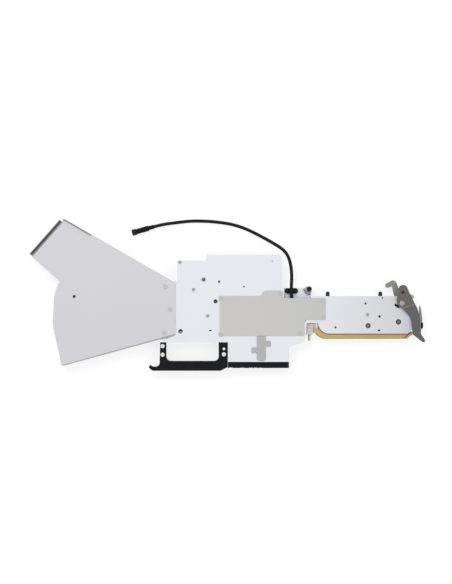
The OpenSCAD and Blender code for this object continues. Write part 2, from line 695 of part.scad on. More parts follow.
module grip() {
    finger_rear = -grip_rear + grip_post;
    finger_low = -grip_deck - finger_h;
    color([0.09, 0.09, 0.1]) difference() {
        slab(plate_t, plate_t + grip_t) polygon(concat(
            [[-grip_rear, -grip_deck]],
            arc(curl, curl_r, -28, -138, 8),
            [curl + [-8.6, -8.3], curl + [-7.4, -10.5], [curl.x - 3, grip_low]],
            [[-foot_rear - 11, grip_low], [-foot_rear - 0.4, grip_low + 5.4], [-foot_rear - 0.1, -grip_deck],
             [finger_rear + finger_len, -grip_deck]],
            [[finger_rear + finger_len, finger_low + finger_r]],
            arc([finger_rear + finger_len - finger_r, finger_low + finger_r], finger_r, 0, -90, 6),
            arc([finger_rear + finger_r, finger_low + finger_r], finger_r, -90, -180, 6),
            [[finger_rear, -grip_deck]]));
        for (s = grip_screws) {
            rod(s, 1.35, plate_t - 1, plate_t + grip_t + 1);
            rod(s, s.z + 0.1, plate_t + grip_t - 1.6, plate_t + grip_t + 1);
        }
    }
}

module grip_screws() {
    color([0.85, 0.85, 0.84]) for (s = grip_screws)
        low_screw(s, 2.5, grip_t - 1.6 + plate_t - 0.4, plate_t + grip_t - 1.6, s.z * 2, 1.6);
}

module key_rail() {
    color([0.08, 0.08, 0.09]) difference() {
        union() {
            block([-foot_rear - 0.1, -rail_deck, 1.5],
                  [-foot_front - rail_cap_t, -foot_deck, body_t - 1.5]);
            // tongue that the rail is held by between the plates
            block([-foot_rear + 4, -foot_deck - 1, plate_t + 0.1],
                  [-foot_front - 6, -foot_deck + 4, front_z - 0.1]);
        }
        for (x = key_xs) {
            block([x - key_w / 2 - 0.3, -rail_deck - 1, 0],
                  [x + key_w / 2 + 0.3, -rail_deck + key_notch, body_t]);
            block([x - key_w / 2 + 0.4, -rail_deck, mid_z - 3.2],
                  [x + key_w / 2 - 0.4, -rail_deck + 5.3, mid_z + 3.2]);
        }
        // finger nick beside the grip
        block([-foot_rear + 2.3, -rail_deck - 1, 0], [-foot_rear + 6.8, -rail_deck + 0.8, body_t]);
        // line along the rail's face
        block([-foot_rear + 1, -foot_deck - 5.4, body_t - 1.8],
              [-foot_front - 4, -foot_deck - 5, body_t]);
    }
}

module rail_cap() {
    color([0.14, 0.14, 0.15])
        block([-foot_front - rail_cap_t, -rail_deck, 1.5], [-foot_front, -foot_deck, body_t - 1.5]);
}

module key(x) {
    color([0.2, 0.2, 0.21]) {
        block([x - key_w / 2, -rail_deck + 0.2, mid_z - 7],
              [x + key_w / 2, -rail_deck + 0.9, mid_z + 7]);
        // stem that presses the switch behind the key
        block([x - key_w / 2 + 0.6, -rail_deck + 0.9, mid_z - 3],
              [x + key_w / 2 - 0.6, -rail_deck + 4.6, mid_z + 3]);
    }
}

module key_1() { key(key_xs[0]); }
module key_2() { key(key_xs[1]); }
module key_3() { key(key_xs[2]); }
module key_4() { key(key_xs[3]); }

// ---- tape path -----------------------------------------------------------

track_mid = -12;
pick_x = -28;                    // middle of the window that the parts are picked from
boss_at = [-130.4, -6.2];        // boss on the guide block
peg_x = -133.4;                  // peg at the guide block's deck edge
// Two bars that the tape runs between, through the body
module tape_track() {
    color([0.8, 0.8, 0.82]) for (y = [track_mid - track_h / 2 - track_bar_t, track_mid + track_h / 2])
        block([-body_rear + 3, y, plate_t], [-neck_x - 1.6, y + track_bar_t, tape_hi + 0.5]);
}

// The rail that carries the tape over the nose's deck edge and round the bend
module guide_rail() {
    color([0.55, 0.47, 0.33]) difference() {
        slab(plate_t, front_z) polygon(concat(
            [[nose_front - nose_chamfer + 1, slot_y], [nose_front - nose_chamfer, deck_y]],
            arc(bend, bend_r, 270, 200, 7),
            arc(bend, bend_r + rail_t, 200, 270, 7)));
        // slot for the sprocket's rim
        block([-11.6, slot_y - 1, hole_z - rim_t / 2 - 0.4],
              [11.6, deck_y + 1, hole_z + rim_t / 2 + 0.4]);
    }
}

// Points along the guide's outer edge, from its tail to the nose's front corner
guide_edge = concat(
    arc(bend, bend_r + rail_t + slot_h + guide_t, 232, 262, 4),
    [[bend.x, strip_y], [11, strip_y], [15, strip_y + 0.8], [22, -18.4]]);

module tape_guide() {
    color([0.80, 0.70, 0.36]) difference() {
        slab(plate_t, front_z) polygon(concat(
            guide_edge,
            [[20.6, -14.6], [nose_front - nose_chamfer + 1.2, slot_y]],
            arc(bend, bend_r + rail_t, 270, 210, 6),
            [[-126.5, -10.2], [-127.6, -16.6]]));
        // the slot that the tape runs in
        slab(tape_lo - tape_gap, tape_hi + tape_gap) polygon(concat(
            [[23, slot_y - slot_h], [23, -12], [nose_front, -12],
             [nose_front - nose_chamfer + 1.2, slot_y + 0.5]],
            arc(bend, bend_r + rail_t - 0.2, 270, 208, 8), [[-128, -9.8], [-128, -11.5]],
            arc(bend, bend_r + rail_t + slot_h, 216, 270, 8)));
        // pick-up window, and the groove that the sprocket's pins pass in
        block([pick_x - pick_len / 2, strip_y - 1, tape_lo + 0.3],
              [pick_x + pick_len / 2, guide_y + 1, tape_hi - 2.6]);
        block([-8, guide_y - 0.6, hole_z - 1.1], [8, guide_y + 1, hole_z + 1.1]);
    }
}

module guide_strip() {
    color([0.62, 0.58, 0.38]) difference() {
        slab(plate_t + 0.5, front_z - 0.5) polygon(concat(
            [[bend.x - 8, strip_y - strip_t + 0.7], [bend.x, strip_y - strip_t], [11, strip_y - strip_t],
             [15, strip_y - strip_t + 0.8], [15, strip_y + 0.8], [11, strip_y], [bend.x, strip_y]],
            [arc(bend, bend_r + rail_t + slot_h + guide_t, 262, 262, 1)[0]]));
        block([pick_x - pick_len / 2, strip_y - strip_t - 1, tape_lo + 0.3],
              [pick_x + pick_len / 2, strip_y + 1, tape_hi - 2.6]);
    }
}

block_z = [5, 19.5];
// Block that turns the tape from the body's channel into the bend
module guide_block() {
    color([0.80, 0.80, 0.80]) difference() {
        slab(block_z[0], block_z[1]) polygon([[-neck_x - 1, -2], [-neck_x - 1, -18.6], [-129.4, -19.4],
            [-127.9, -16.6], [-126.9, -10.1], [-123, -9.7], [-123, -2]]);
        slab(tape_lo - tape_gap, tape_hi + tape_gap)
            polygon([[-neck_x - 2, -9.6], [-122, -9.6], [-122, -11.8], [-126, -13], [-neck_x - 2, -14.4]]);
        rod(boss_at, 1.52, tape_hi + tape_gap + 0.4, block_z[1] + 1);
        translate([peg_x, -14.6, mid_z]) rotate([90, 0, 0]) cylinder(r = 1.52, h = 8);
    }
}

module guide_boss() {
    color([0.80, 0.76, 0.62]) {
        rod(boss_at, 1.5, tape_hi + tape_gap + 0.6, block_z[1]);
        translate([boss_at.x, boss_at.y, block_z[1]]) cylinder(d1 = 8.4, d2 = 7.6, h = 1.8);
    }
}

module guide_peg() {
    color([0.72, 0.69, 0.55]) translate([peg_x, -14.9, mid_z]) rotate([90, 0, 0]) {
        cylinder(r = 1.5, h = 4.4);
        translate([0, 0, 4.4]) cylinder(d = 5, h = 1.6);
        translate([0, 0, 6]) cylinder(d1 = 4, d2 = 3.4, h = 7.8);
    }
}

// ---- locating parts ------------------------------------------------------

module locator_bar() {
    color([0.8, 0.8, 0.82]) difference() {
        block([locator_xs[1] - 7, bar_deck, plate_t], [locator_xs[0] + 9, nose_keel, front_z]);
        for (x = locator_xs) translate([x, nose_keel + eps, mid_z]) rotate([90, 0, 0])
            cylinder(r = shank_r + 0.01, h = locator_hold + 0.1);
        rod(set_screw_at, 1.2, front_z - 5, front_z + 1);
    }
}

module locating_pins() {
    color([0.27, 0.27, 0.28]) for (x = locator_xs)
        translate([x, nose_keel - locator_hold, mid_z]) rotate([-90, 0, 0]) rotate_extrude() polygon(concat(
            [[0, 0], [shank_r, 0], [shank_r, locator_hold], [locator_d / 2, locator_hold],
             [locator_d / 2, locator_hold + locator_len]],
            [for (a = [30, 60, 90]) [locator_d / 2 * cos(a), locator_hold + locator_len + 2.5 * sin(a)]]));
}

module guide_roller() {
    color([0.15, 0.15, 0.16]) difference() {
        rod(roller_at, roller_d / 2, plate_t + 0.4, front_z - 2);
        rod(roller_at, 1.3 + run_gap, plate_t, front_z);
    }
}

module roller_pin() {
    color([0.6, 0.6, 0.6]) {
        rod(roller_at, 1.3, 0.8, front_z - 1.9);
        rod(roller_at, 2, front_z - 1.9, front_z - 1.2);
    }
}

// Thin spring-steel liner in the notch round the roller
module notch_liner() {
    color([0.3, 0.3, 0.31]) slab(plate_t, shelf_z + 2) polygon(concat(
        arc(roller_at, notch_r - 0.1, notch_start, notch_end + 14, 12),
        arc(roller_at, notch_r - 0.1 - liner_t, notch_end + 14, notch_start, 12)));
}

// ---- sprocket and drive --------------------------------------------------

function involute(a) = tan(a) - a * PI / 180;
// Half the angle that a tooth fills at radius q, on a gear of pitch radius r with n teeth
function half_tooth(r, n, q) =
    90 / n - 0.07 / r * 180 / PI + (involute(20) - involute(acos(min(1, r * cos(20) / q)))) * 180 / PI;
function gear_outline(n) =
    let (r = gear_m * n / 2, low = max(r * cos(20), r - gear_m) + 0.02,
         root = r - 1.2 * gear_m, tip = r + 0.9 * gear_m)
    [for (i = [0:n - 1]) each
        let (mid = 360 * i / n, side = [half_tooth(r, n, low), half_tooth(r, n, r), half_tooth(r, n, tip)])
        [root * [cos(mid - side[0]), sin(mid - side[0])], low * [cos(mid - side[0]), sin(mid - side[0])],
         r * [cos(mid - side[1]), sin(mid - side[1])], tip * [cos(mid - side[2]), sin(mid - side[2])],
         tip * [cos(mid + side[2]), sin(mid + side[2])], r * [cos(mid + side[1]), sin(mid + side[1])],
         low * [cos(mid + side[0]), sin(mid + side[0])], root * [cos(mid + side[0]), sin(mid + side[0])]]];

module gear(at, n, turn, z0, bore_r) {
    translate([at.x, at.y, z0]) rotate([0, 0, turn]) difference() {
        linear_extrude(gear_t) polygon(gear_outline(n));
        if (bore_r > 0) translate([0, 0, -1]) cylinder(r = bore_r, h = gear_t + 2);
    }
}

// Pin wheel that draws the tape on by its holes
module sprocket() {
    rim_r = pitch_r - 0.4;
    color([0.72, 0.72, 0.74]) difference() {
        union() {
            rod([0, 0], rim_r, hole_z - rim_t / 2, hole_z + rim_t / 2);
            rod([0, 0], 5, hole_z - 4, gear_z);
            for (i = [0:sprocket_pins - 1]) rotate([0, 0, 360 * i / sprocket_pins])
                translate([rim_r - 0.8, 0, hole_z]) rotate([0, 90, 0])
                    cylinder(r1 = 0.75, r2 = 0.4, h = 1.2 + pin_rise);
        }
        rod([0, 0], sprocket_shaft_r, 0, body_t);
        for (i = [0:5]) rotate([0, 0, 60 * i + 30]) rod([11.6, 0], 3.2, 0, body_t);
    }
}

module sprocket_shaft() {
    color([0.6, 0.6, 0.62]) rod([0, 0], sprocket_shaft_r, plate_t - 1.8, body_t);
}

module sprocket_gear() {
    color([0.75, 0.68, 0.4]) gear([0, 0], teeth[0], 0, gear_z, sprocket_shaft_r);
}

// Bushes in the front plate, for the sprocket's shaft and the drive shaft
module shaft_bushes() {
    color([0.3, 0.3, 0.33]) {
        difference() {
            rod([0, 0], sprocket_bush_d / 2, front_z, body_t);
            rod([0, 0], sprocket_shaft_r + run_gap, front_z - 1, body_t + 1);
        }
        difference() {
            rod(drive_at, drive_bush_d / 2, front_z, body_t);
            rod(drive_at, drive_shaft_r + run_gap, front_z - 1, body_t + 1);
        }
    }
}

module idler_gear() {
    color([0.9, 0.88, 0.8]) gear(idler_at, teeth[1], idler_turn, gear_z, idler_pin_r + run_gap);
}

// Fixed pins: those of the idler and the reduction gear, and the one that the spring's leg rests on
module dowel_pins() {
    color([0.4, 0.4, 0.42]) {
        rod(idler_at, idler_pin_r, plate_t - 2, body_t - 1.6);
        rod(reduction_at, reduction_pin_r, plate_t - 2, front_z + 1.8);
        rod(spring_post_at, spring_post_r, plate_t - 2, front_z - 0.3);
    }
}

module drive_gear() {
    color([0.75, 0.68, 0.4]) gear(drive_at, teeth[2], drive_turn, gear_z, drive_shaft_r);
}

module drive_shaft() {
    color([0.6, 0.6, 0.62]) rod(drive_at, drive_shaft_r, plate_t - 1.8, body_t);
}

// Two gears in one piece: the motor's pinion drives the large one
module reduction_gear() {
    color([0.9, 0.88, 0.8]) {
        gear(reduction_at, teeth[3], reduction_turn, gear_z, reduction_pin_r + run_gap);
        gear(reduction_at, teeth[4], reduction_turn, second_z, reduction_pin_r + run_gap);
        difference() {
            rod(reduction_at, 4, second_z + gear_t - 0.5, gear_z + 0.5);
            rod(reduction_at, reduction_pin_r + run_gap, second_z, gear_z + 1);
        }
    }
}

module motor() {
    color([0.35, 0.35, 0.37]) difference() {
        union() {
            rod(motor_at, motor_d / 2, plate_t, plate_t + motor_len - 1);
            rod(motor_at, motor_d / 2 - 1, plate_t + motor_len - 1, plate_t + motor_len - 0.5);
        }
        rod(motor_at, motor_shaft_r + run_gap, plate_t + 2, plate_t + motor_len);
    }
}

module motor_pinion() {
    color([0.75, 0.68, 0.4]) {
        gear(motor_at, teeth[5], motor_turn, second_z, 0);
        rod(motor_at, motor_shaft_r, plate_t + 2.4, second_z + gear_t / 2);
    }
}

// ---- release lever -------------------------------------------------------

lever_edge = [[-1.4, 25], [2.7, 21.6], [7.5, 17.4], [13.8, 11.2], [17.2, 6.4], [18.9, -0.4], [20, -10.8],
              [21.3, -19], [27.6, -23.8], [34.5, -29.4]];
lever_front = [[39.6, -28.6], [38.6, -26], [33.4, -17.7], [32.4, -7.4], [31, 3], [30, 13.4], [27.9, 20.2],
               [24.2, 27.2], [21.3, 33.3], [16.5, 42.9], [13, 50.6]];
lever_fold = [[7.5, 20.8], [23.4, 26.2]];

module lever_outline() {
    polygon(concat(lever_edge, arc([37.6, -28.6], 2, -100, -20, 3), lever_front,
        arc(rivet + [0.4, 4.4], 7, 25, 150, 5), [[-2.2, 38], [-2.8, 31]]));
}

module release_lever() {
    color([0.40, 0.40, 0.41]) difference() {
        union() {
            slab(lever_z, lever_z + lever_t) lever_outline();
            // bent flange that the thumb plate is fixed to
            slab(mid_z - 6, lever_z + 1)
                polygon([[30.4, -4], [31.2, -17.2], [33.2, -17.6], [32.3, -7.4], [31.9, -4]]);
        }
        // the plate is a little thinner on the tab's side of its fold
        slab(lever_z + lever_t - 0.5, lever_z + lever_t + 1)
            polygon([lever_fold[0] + [-12, -4], [0, -40], [50, -40], [50, 35.2], lever_fold[1]]);
        rod(pivot, pivot_r + run_gap, lever_z - 1, lever_z + lever_t + 1);
        rod(rivet, rivet_r, lever_z - 1, lever_z + lever_t + 1);
    }
}

// Hook that grips the machine's table edge, on the lever's pivot between the plates
module clamp_hook() {
    color([0.62, 0.61, 0.59]) difference() {
        slab(hook_z, hook_z + hook_t) polygon([[-3.4, 36], [-6.2, 41.6], [-7.6, 49], [-8.2, 53.2],
            [-14, 51.4], [-16.4, 51], [-18.6, 52.6], [-18.8, 55], [-17.4, 58], [-12, 60.4], [-7.6, 62.8],
            [-4.4, 61.8], [-1.4, 58], [0, 53.2], [1.2, 49.6], [6.6, 49.4], [11, 46], [14.6, 40.4],
            [21.4, 41.2], [24, 38], [22.4, 33.8], [13, 27], [8.8, 22.4], [2.4, 21.6], [-1.6, 25],
            [-2.6, 30]]);
        rod(pivot, pivot_r + run_gap, hook_z - 1, hook_z + hook_t + 1);
        rod(rivet, rivet_r, hook_z - 1, hook_z + hook_t + 1);
        // arc slot that the spring's leg works in
        slab(hook_z + hook_t - 2.4, hook_z + hook_t + 1) polygon(concat(
            arc(pivot, leg_r - 1, leg_angle - 6, leg_angle + lever_swing + 6, 4),
            arc(pivot, leg_r + 1, leg_angle + lever_swing + 6, leg_angle - 6, 4)));
    }
}

module lever_pivot() {
    color([0.72, 0.72, 0.70]) {
        rod(pivot, pivot_r, plate_t - 2, lever_z + lever_t + 0.1);
        rod(pivot, 3.8, lever_z + lever_t + 0.1, lever_z + lever_t + 1);
    }
}

// Rivet that joins the lever to the hook, and the stud at the hook's front
module lever_rivets() {
    color([0.7, 0.7, 0.69]) {
        difference() {
            rod(rivet, rivet_r - 0.01, hook_z, lever_z + lever_t - 0.6);
            rod(rivet, 1.4, lever_z + 0.4, lever_z + lever_t + 1);
        }
        rod(stud_at, 3, hook_z + hook_t, hook_z + hook_t + 7);
    }
}

// Plate that the thumb pushes, fixed to the lever's bent flange
module thumb_plate() {
    color([0.6, 0.6, 0.6]) slab(mid_z - 7, mid_z + 8)
        polygon([[33.3, -17.4], [34.8, -12], [36, -4], [36.2, 4], [35.2, 14], [33.2, 24.4],
                 [32.8, 16], [32.6, 6], [32.2, -4], [32.4, -7.4]]);
}

module thumb_pad() {
    color([0.06, 0.06, 0.07]) slab(mid_z - 5, mid_z + 5)
        polygon([[36.1, -1.4], [37.4, -2.6], [37.2, -8.8], [35.25, -10], [36.02, -4]]);
}

module return_spring() {
    steps = 14;
    pitch = spring_wire + 0.15;
    coil = [for (i = [0:spring_turns * steps])
        let (turn = coil_start + 360 * i / steps)
        [pivot.x + spring_r * cos(turn), pivot.y + spring_r * sin(turn), spring_z + pitch * i / steps]];
    top_z = spring_z + pitch * spring_turns;
    leg_end = coil_end + fixed_leg_way * 13;
    color([0.55, 0.55, 0.56]) tube(concat(
        [[pivot.x + leg_r * cos(leg_angle), pivot.y + leg_r * sin(leg_angle), hook_z + hook_t - 1.6],
         [pivot.x + leg_r * cos(leg_angle), pivot.y + leg_r * sin(leg_angle), spring_z - 0.4],
         [pivot.x + 7.4 * cos(leg_angle + 34), pivot.y + 7.4 * sin(leg_angle + 34), spring_z]],
        coil, [[leg_end.x, leg_end.y, top_z]]),
        spring_wire / 2, 6, [0, 0, 1], [fixed_leg_way.x, fixed_leg_way.y, 0]);
}

module lever_stop() {
    color([0.06, 0.06, 0.07]) slab(body_t, body_t + lever_lift - 0.2) {
        translate([-4.2, 25.4]) circle(r = 1.7);
        translate([-0.4, 23.6]) circle(r = 2.6);
        translate([-4.2, 23]) square([4, 3]);
    }
}

back_plate();
front_plate();
spacer_posts();
post_screws();
electronics_cover();
cover_screws();
key_cable_cover();
key_cable();
circuit_board();
board_chips();
board_standoffs();
cable_shelf();
cable_clamp();
clamp_screws();
cable_gland();
cable();
plug_body();
plug_collar();
chute_tray();
chute_face();
chute_screws();
grip();
grip_screws();
key_rail();
rail_cap();
key_1();
key_2();
key_3();
key_4();
tape_track();
guide_rail();
tape_guide();
guide_strip();
guide_block();
guide_boss();
guide_peg();
locator_bar();
locating_pins();
guide_roller();
roller_pin();
notch_liner();
sprocket();
sprocket_shaft();
sprocket_gear();
shaft_bushes();
idler_gear();
drive_gear();
drive_shaft();
reduction_gear();
dowel_pins();
motor();
motor_pinion();
release_lever();
clamp_hook();
lever_pivot();
lever_rivets();
thumb_plate();
thumb_pad();
return_spring();
lever_stop();
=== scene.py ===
import bpy
import json
import math
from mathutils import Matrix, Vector


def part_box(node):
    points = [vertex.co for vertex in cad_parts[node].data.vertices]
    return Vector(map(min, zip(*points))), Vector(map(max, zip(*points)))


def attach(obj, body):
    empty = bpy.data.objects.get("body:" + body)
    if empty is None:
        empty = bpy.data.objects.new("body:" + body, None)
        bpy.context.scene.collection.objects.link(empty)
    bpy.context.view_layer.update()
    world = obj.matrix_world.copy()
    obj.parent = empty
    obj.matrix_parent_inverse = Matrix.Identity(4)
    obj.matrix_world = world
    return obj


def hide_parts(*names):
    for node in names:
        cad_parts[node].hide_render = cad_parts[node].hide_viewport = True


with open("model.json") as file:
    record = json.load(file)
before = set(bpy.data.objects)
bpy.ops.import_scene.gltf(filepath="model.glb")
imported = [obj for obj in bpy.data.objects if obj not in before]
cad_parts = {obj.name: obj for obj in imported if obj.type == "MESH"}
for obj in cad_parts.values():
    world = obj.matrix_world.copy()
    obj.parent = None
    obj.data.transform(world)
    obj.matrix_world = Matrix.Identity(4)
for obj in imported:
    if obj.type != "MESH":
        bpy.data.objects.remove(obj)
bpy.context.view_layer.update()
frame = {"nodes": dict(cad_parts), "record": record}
nodes = frame["nodes"]
mm = 0.001

# shared by all shaped pieces: distances in mm, angles in degrees
shaping = {"weld": 0.002, "flat": 0.6, "bevelFrom": 36, "bevelSegments": 3, "smoothTo": 40, "weight": 80}


# selecting and shaping

def deselectAll():
    if bpy.context.mode != "OBJECT":
        bpy.ops.object.mode_set(mode="OBJECT")
    bpy.ops.object.select_all(action="DESELECT")


def makeActive(piece):
    deselectAll()
    piece.select_set(True)
    bpy.context.view_layer.objects.active = piece


def addObject(name, data):
    piece = bpy.data.objects.new(name, data)
    bpy.context.scene.collection.objects.link(piece)
    return piece


def settle(piece, name):
    makeActive(piece)
    bpy.ops.object.transform_apply(location=True, rotation=True, scale=True)
    piece.name = name
    piece.data.name = name
    return piece


def applyModifier(piece, kind, **settings):
    makeActive(piece)
    modifier = piece.modifiers.new(kind.lower(), kind)
    for key, value in settings.items():
        setattr(modifier, key, value)
    bpy.ops.object.modifier_apply(modifier=modifier.name)


def smooth(piece, angle):
    makeActive(piece)
    bpy.ops.object.shade_smooth_by_angle(angle=math.radians(angle))


def weld(piece, flatten, turnOutwards):
    makeActive(piece)
    bpy.ops.object.mode_set(mode="EDIT")
    bpy.ops.mesh.select_all(action="SELECT")
    bpy.ops.mesh.remove_doubles(threshold=shaping["weld"] * mm)
    if flatten:
        bpy.ops.mesh.dissolve_limited(angle_limit=math.radians(shaping["flat"]))
    if turnOutwards:
        bpy.ops.mesh.normals_make_consistent(inside=False)
    bpy.ops.object.mode_set(mode="OBJECT")


def softenEdges(piece, radius):
    applyModifier(piece, "BEVEL", width=radius * mm, segments=shaping["bevelSegments"],
                  limit_method="ANGLE", angle_limit=math.radians(shaping["bevelFrom"]),
                  use_clamp_overlap=True, harden_normals=False)
    smooth(piece, shaping["smoothTo"])
    applyModifier(piece, "WEIGHTED_NORMAL", keep_sharp=True, weight=shaping["weight"])


def dress(piece, material, slot, body, *stands):
    piece.data.materials.clear()
    piece.data.materials.append(material)
    if stands:
        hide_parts(*stands)
    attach(piece, body)


def bodyOf(node):
    for body, members in frame["record"]["behaviour"]["bodies"].items():
        if node in members:
            return body


def slotOf(node):
    for part in frame["record"]["subparts"]:
        if part["node"] == node:
            return part["material_slot"]


# camera and cord

# in mm: the middle of the view, the height that is framed exactly and how much fits from top to bottom
view = {"middle": (-258.75, 44.85), "height": 24, "tall": 876, "lens": 100, "sensor": 36, "reach": 20}


def makeCamera():
    data = bpy.data.cameras.new("viewCamera")
    data.lens = view["lens"]
    data.sensor_width = view["sensor"]
    data.clip_end = view["reach"]
    camera = addObject("viewCamera", data)
    distance = view["tall"] * view["lens"] / view["sensor"]
    x, y = view["middle"]
    camera.location = Vector((x, y, view["height"] + distance)) * mm
    bpy.context.scene.camera = camera


cordRoute = {
    "diameter": 5, "steps": 8, "around": 6,
    "points": [
        (-160.5, 33.5, 19.5), (-160.5, 40, 19.5), (-160.5, 46.5, 19.5), (-160.5, 54, 19.2),
        (-160, 63, 17.3), (-160, 73, 14), (-161, 84, 10), (-163.5, 95, 6.3), (-168.5, 104.5, 4.2),
        (-176, 111.5, 3), (-187, 118.5, 2.6), (-201, 126.5, 2.6), (-216.5, 134.5, 2.6),
        (-232, 141.5, 2.6), (-250, 147, 2.6), (-268, 150, 2.6), (-288, 151.8, 2.6),
        (-312, 152, 2.6), (-335, 149.6, 2.7), (-353, 147, 3.8), (-368, 143.5, 4.8)],
}


def makeCord():
    points = [Vector(p) * mm for p in cordRoute["points"]]
    data = bpy.data.curves.new("lead", "CURVE")
    data.dimensions = "3D"
    data.resolution_u = cordRoute["steps"]
    data.bevel_depth = cordRoute["diameter"] / 2 * mm
    data.bevel_resolution = cordRoute["around"]
    data.use_fill_caps = True
    spline = data.splines.new("BEZIER")
    spline.bezier_points.add(len(points) - 1)
    for i, point in enumerate(points):
        knot = spline.bezier_points[i]
        before = points[max(i - 1, 0)]
        after = points[min(i + 1, len(points) - 1)]
        knot.handle_left_type = knot.handle_right_type = "FREE"
        knot.co = point
        reach = (after - before) / 6  # a third of the mean step to the neighbours
        knot.handle_left = point - reach
        knot.handle_right = point + reach
    return addObject("lead", data), spline.calc_length()


makeCamera()
lead, leadLength = makeCord()
print("camera and lead made, lead", round(leadLength, 4), "m")


# shared effects

effects = {"cloudDetail": 5, "grainDetail": 3, "wearRadius": 0.5, "wearPatches": 160, "wearDetail": 4,
           "wearStrength": 9}


def tone(red, green, blue):
    def linear(level):
        level /= 255
        return level / 12.92 if level <= 0.04045 else ((level + 0.055) / 1.055) ** 2.4
    return (linear(red), linear(green), linear(blue), 1)


def newGroup(name, inputs, outputs):
    group = bpy.data.node_groups.new(name, "ShaderNodeTree")
    for label, kind, default in inputs:
        socket = group.interface.new_socket(name=label, in_out="INPUT", socket_type=kind)
        socket.default_value = default
    for label, kind in outputs:
        group.interface.new_socket(name=label, in_out="OUTPUT", socket_type=kind)
    return group, group.nodes.new("NodeGroupInput"), group.nodes.new("NodeGroupOutput")


def addNode(tree, kind, **settings):
    node = tree.nodes.new(kind)
    for key, value in settings.items():
        setattr(node, key, value)
    return node


def scaledMath(tree, operation, first, second, clamp=False):
    node = addNode(tree, "ShaderNodeMath", operation=operation, use_clamp=clamp)
    for socket, value in zip(node.inputs, (first, second)):
        if isinstance(value, (int, float)):
            socket.default_value = value
        else:
            tree.links.new(value, socket)
    return node.outputs[0]


def buildMottle():
    group, start, end = newGroup("mottle", [
        ("Color", "NodeSocketColor", (0.5, 0.5, 0.5, 1)), ("Tint", "NodeSocketColor", (0.4, 0.4, 0.4, 1)),
        ("Scale", "NodeSocketFloat", 20), ("Amount", "NodeSocketFloat", 0.3),
        ("Roughness", "NodeSocketFloat", 0.5), ("Spread", "NodeSocketFloat", 0.1)],
        [("Color", "NodeSocketColor"), ("Roughness", "NodeSocketFloat")])
    place = addNode(group, "ShaderNodeTexCoord")
    cloud = addNode(group, "ShaderNodeTexNoise")
    cloud.inputs["Detail"].default_value = effects["cloudDetail"]
    group.links.new(place.outputs["Object"], cloud.inputs["Vector"])
    group.links.new(start.outputs["Scale"], cloud.inputs["Scale"])
    share = scaledMath(group, "MULTIPLY", cloud.outputs["Fac"], start.outputs["Amount"], True)
    mix = addNode(group, "ShaderNodeMix", data_type="RGBA")
    group.links.new(share, mix.inputs["Factor"])
    group.links.new(start.outputs["Color"], mix.inputs["A"])
    group.links.new(start.outputs["Tint"], mix.inputs["B"])
    group.links.new(mix.outputs["Result"], end.inputs["Color"])
    centred = scaledMath(group, "SUBTRACT", cloud.outputs["Fac"], 0.5)
    swing = scaledMath(group, "MULTIPLY", centred, start.outputs["Spread"])
    roughness = scaledMath(group, "ADD", start.outputs["Roughness"], swing, True)
    group.links.new(roughness, end.inputs["Roughness"])
    return group


def buildGrain():
    group, start, end = newGroup("grain", [
        ("Scale", "NodeSocketFloat", 900), ("Stretch", "NodeSocketVector", (1, 1, 1))],
        [("Height", "NodeSocketFloat")])
    place = addNode(group, "ShaderNodeTexCoord")
    stretch = addNode(group, "ShaderNodeVectorMath", operation="MULTIPLY")
    fine = addNode(group, "ShaderNodeTexNoise")
    fine.inputs["Detail"].default_value = effects["grainDetail"]
    group.links.new(place.outputs["Object"], stretch.inputs[0])
    group.links.new(start.outputs["Stretch"], stretch.inputs[1])
    group.links.new(stretch.outputs[0], fine.inputs["Vector"])
    group.links.new(start.outputs["Scale"], fine.inputs["Scale"])
    group.links.new(fine.outputs["Fac"], end.inputs["Height"])
    return group


def buildEdgeWear():
    group, start, end = newGroup("edgeWear", [
        ("Color", "NodeSocketColor", (0.5, 0.5, 0.5, 1)), ("Worn", "NodeSocketColor", (0.7, 0.7, 0.7, 1)),
        ("Amount", "NodeSocketFloat", 0.5)], [("Color", "NodeSocketColor")])
    rounded = addNode(group, "ShaderNodeBevel", samples=4)
    rounded.inputs["Radius"].default_value = effects["wearRadius"] * mm
    plain = addNode(group, "ShaderNodeNewGeometry")
    facing = addNode(group, "ShaderNodeVectorMath", operation="DOT_PRODUCT")
    group.links.new(rounded.outputs[0], facing.inputs[0])
    group.links.new(plain.outputs["Normal"], facing.inputs[1])
    bent = scaledMath(group, "SUBTRACT", 1, facing.outputs["Value"])
    place = addNode(group, "ShaderNodeTexCoord")
    patches = addNode(group, "ShaderNodeTexNoise")
    patches.inputs["Scale"].default_value = effects["wearPatches"]
    patches.inputs["Detail"].default_value = effects["wearDetail"]
    group.links.new(place.outputs["Object"], patches.inputs["Vector"])
    broken = scaledMath(group, "MULTIPLY", bent, patches.outputs["Fac"])
    strong = scaledMath(group, "MULTIPLY", broken, effects["wearStrength"])
    share = scaledMath(group, "MULTIPLY", strong, start.outputs["Amount"], True)
    mix = addNode(group, "ShaderNodeMix", data_type="RGBA")
    group.links.new(share, mix.inputs["Factor"])
    group.links.new(start.outputs["Color"], mix.inputs["A"])
    group.links.new(start.outputs["Worn"], mix.inputs["B"])
    group.links.new(mix.outputs["Result"], end.inputs["Color"])
    return group


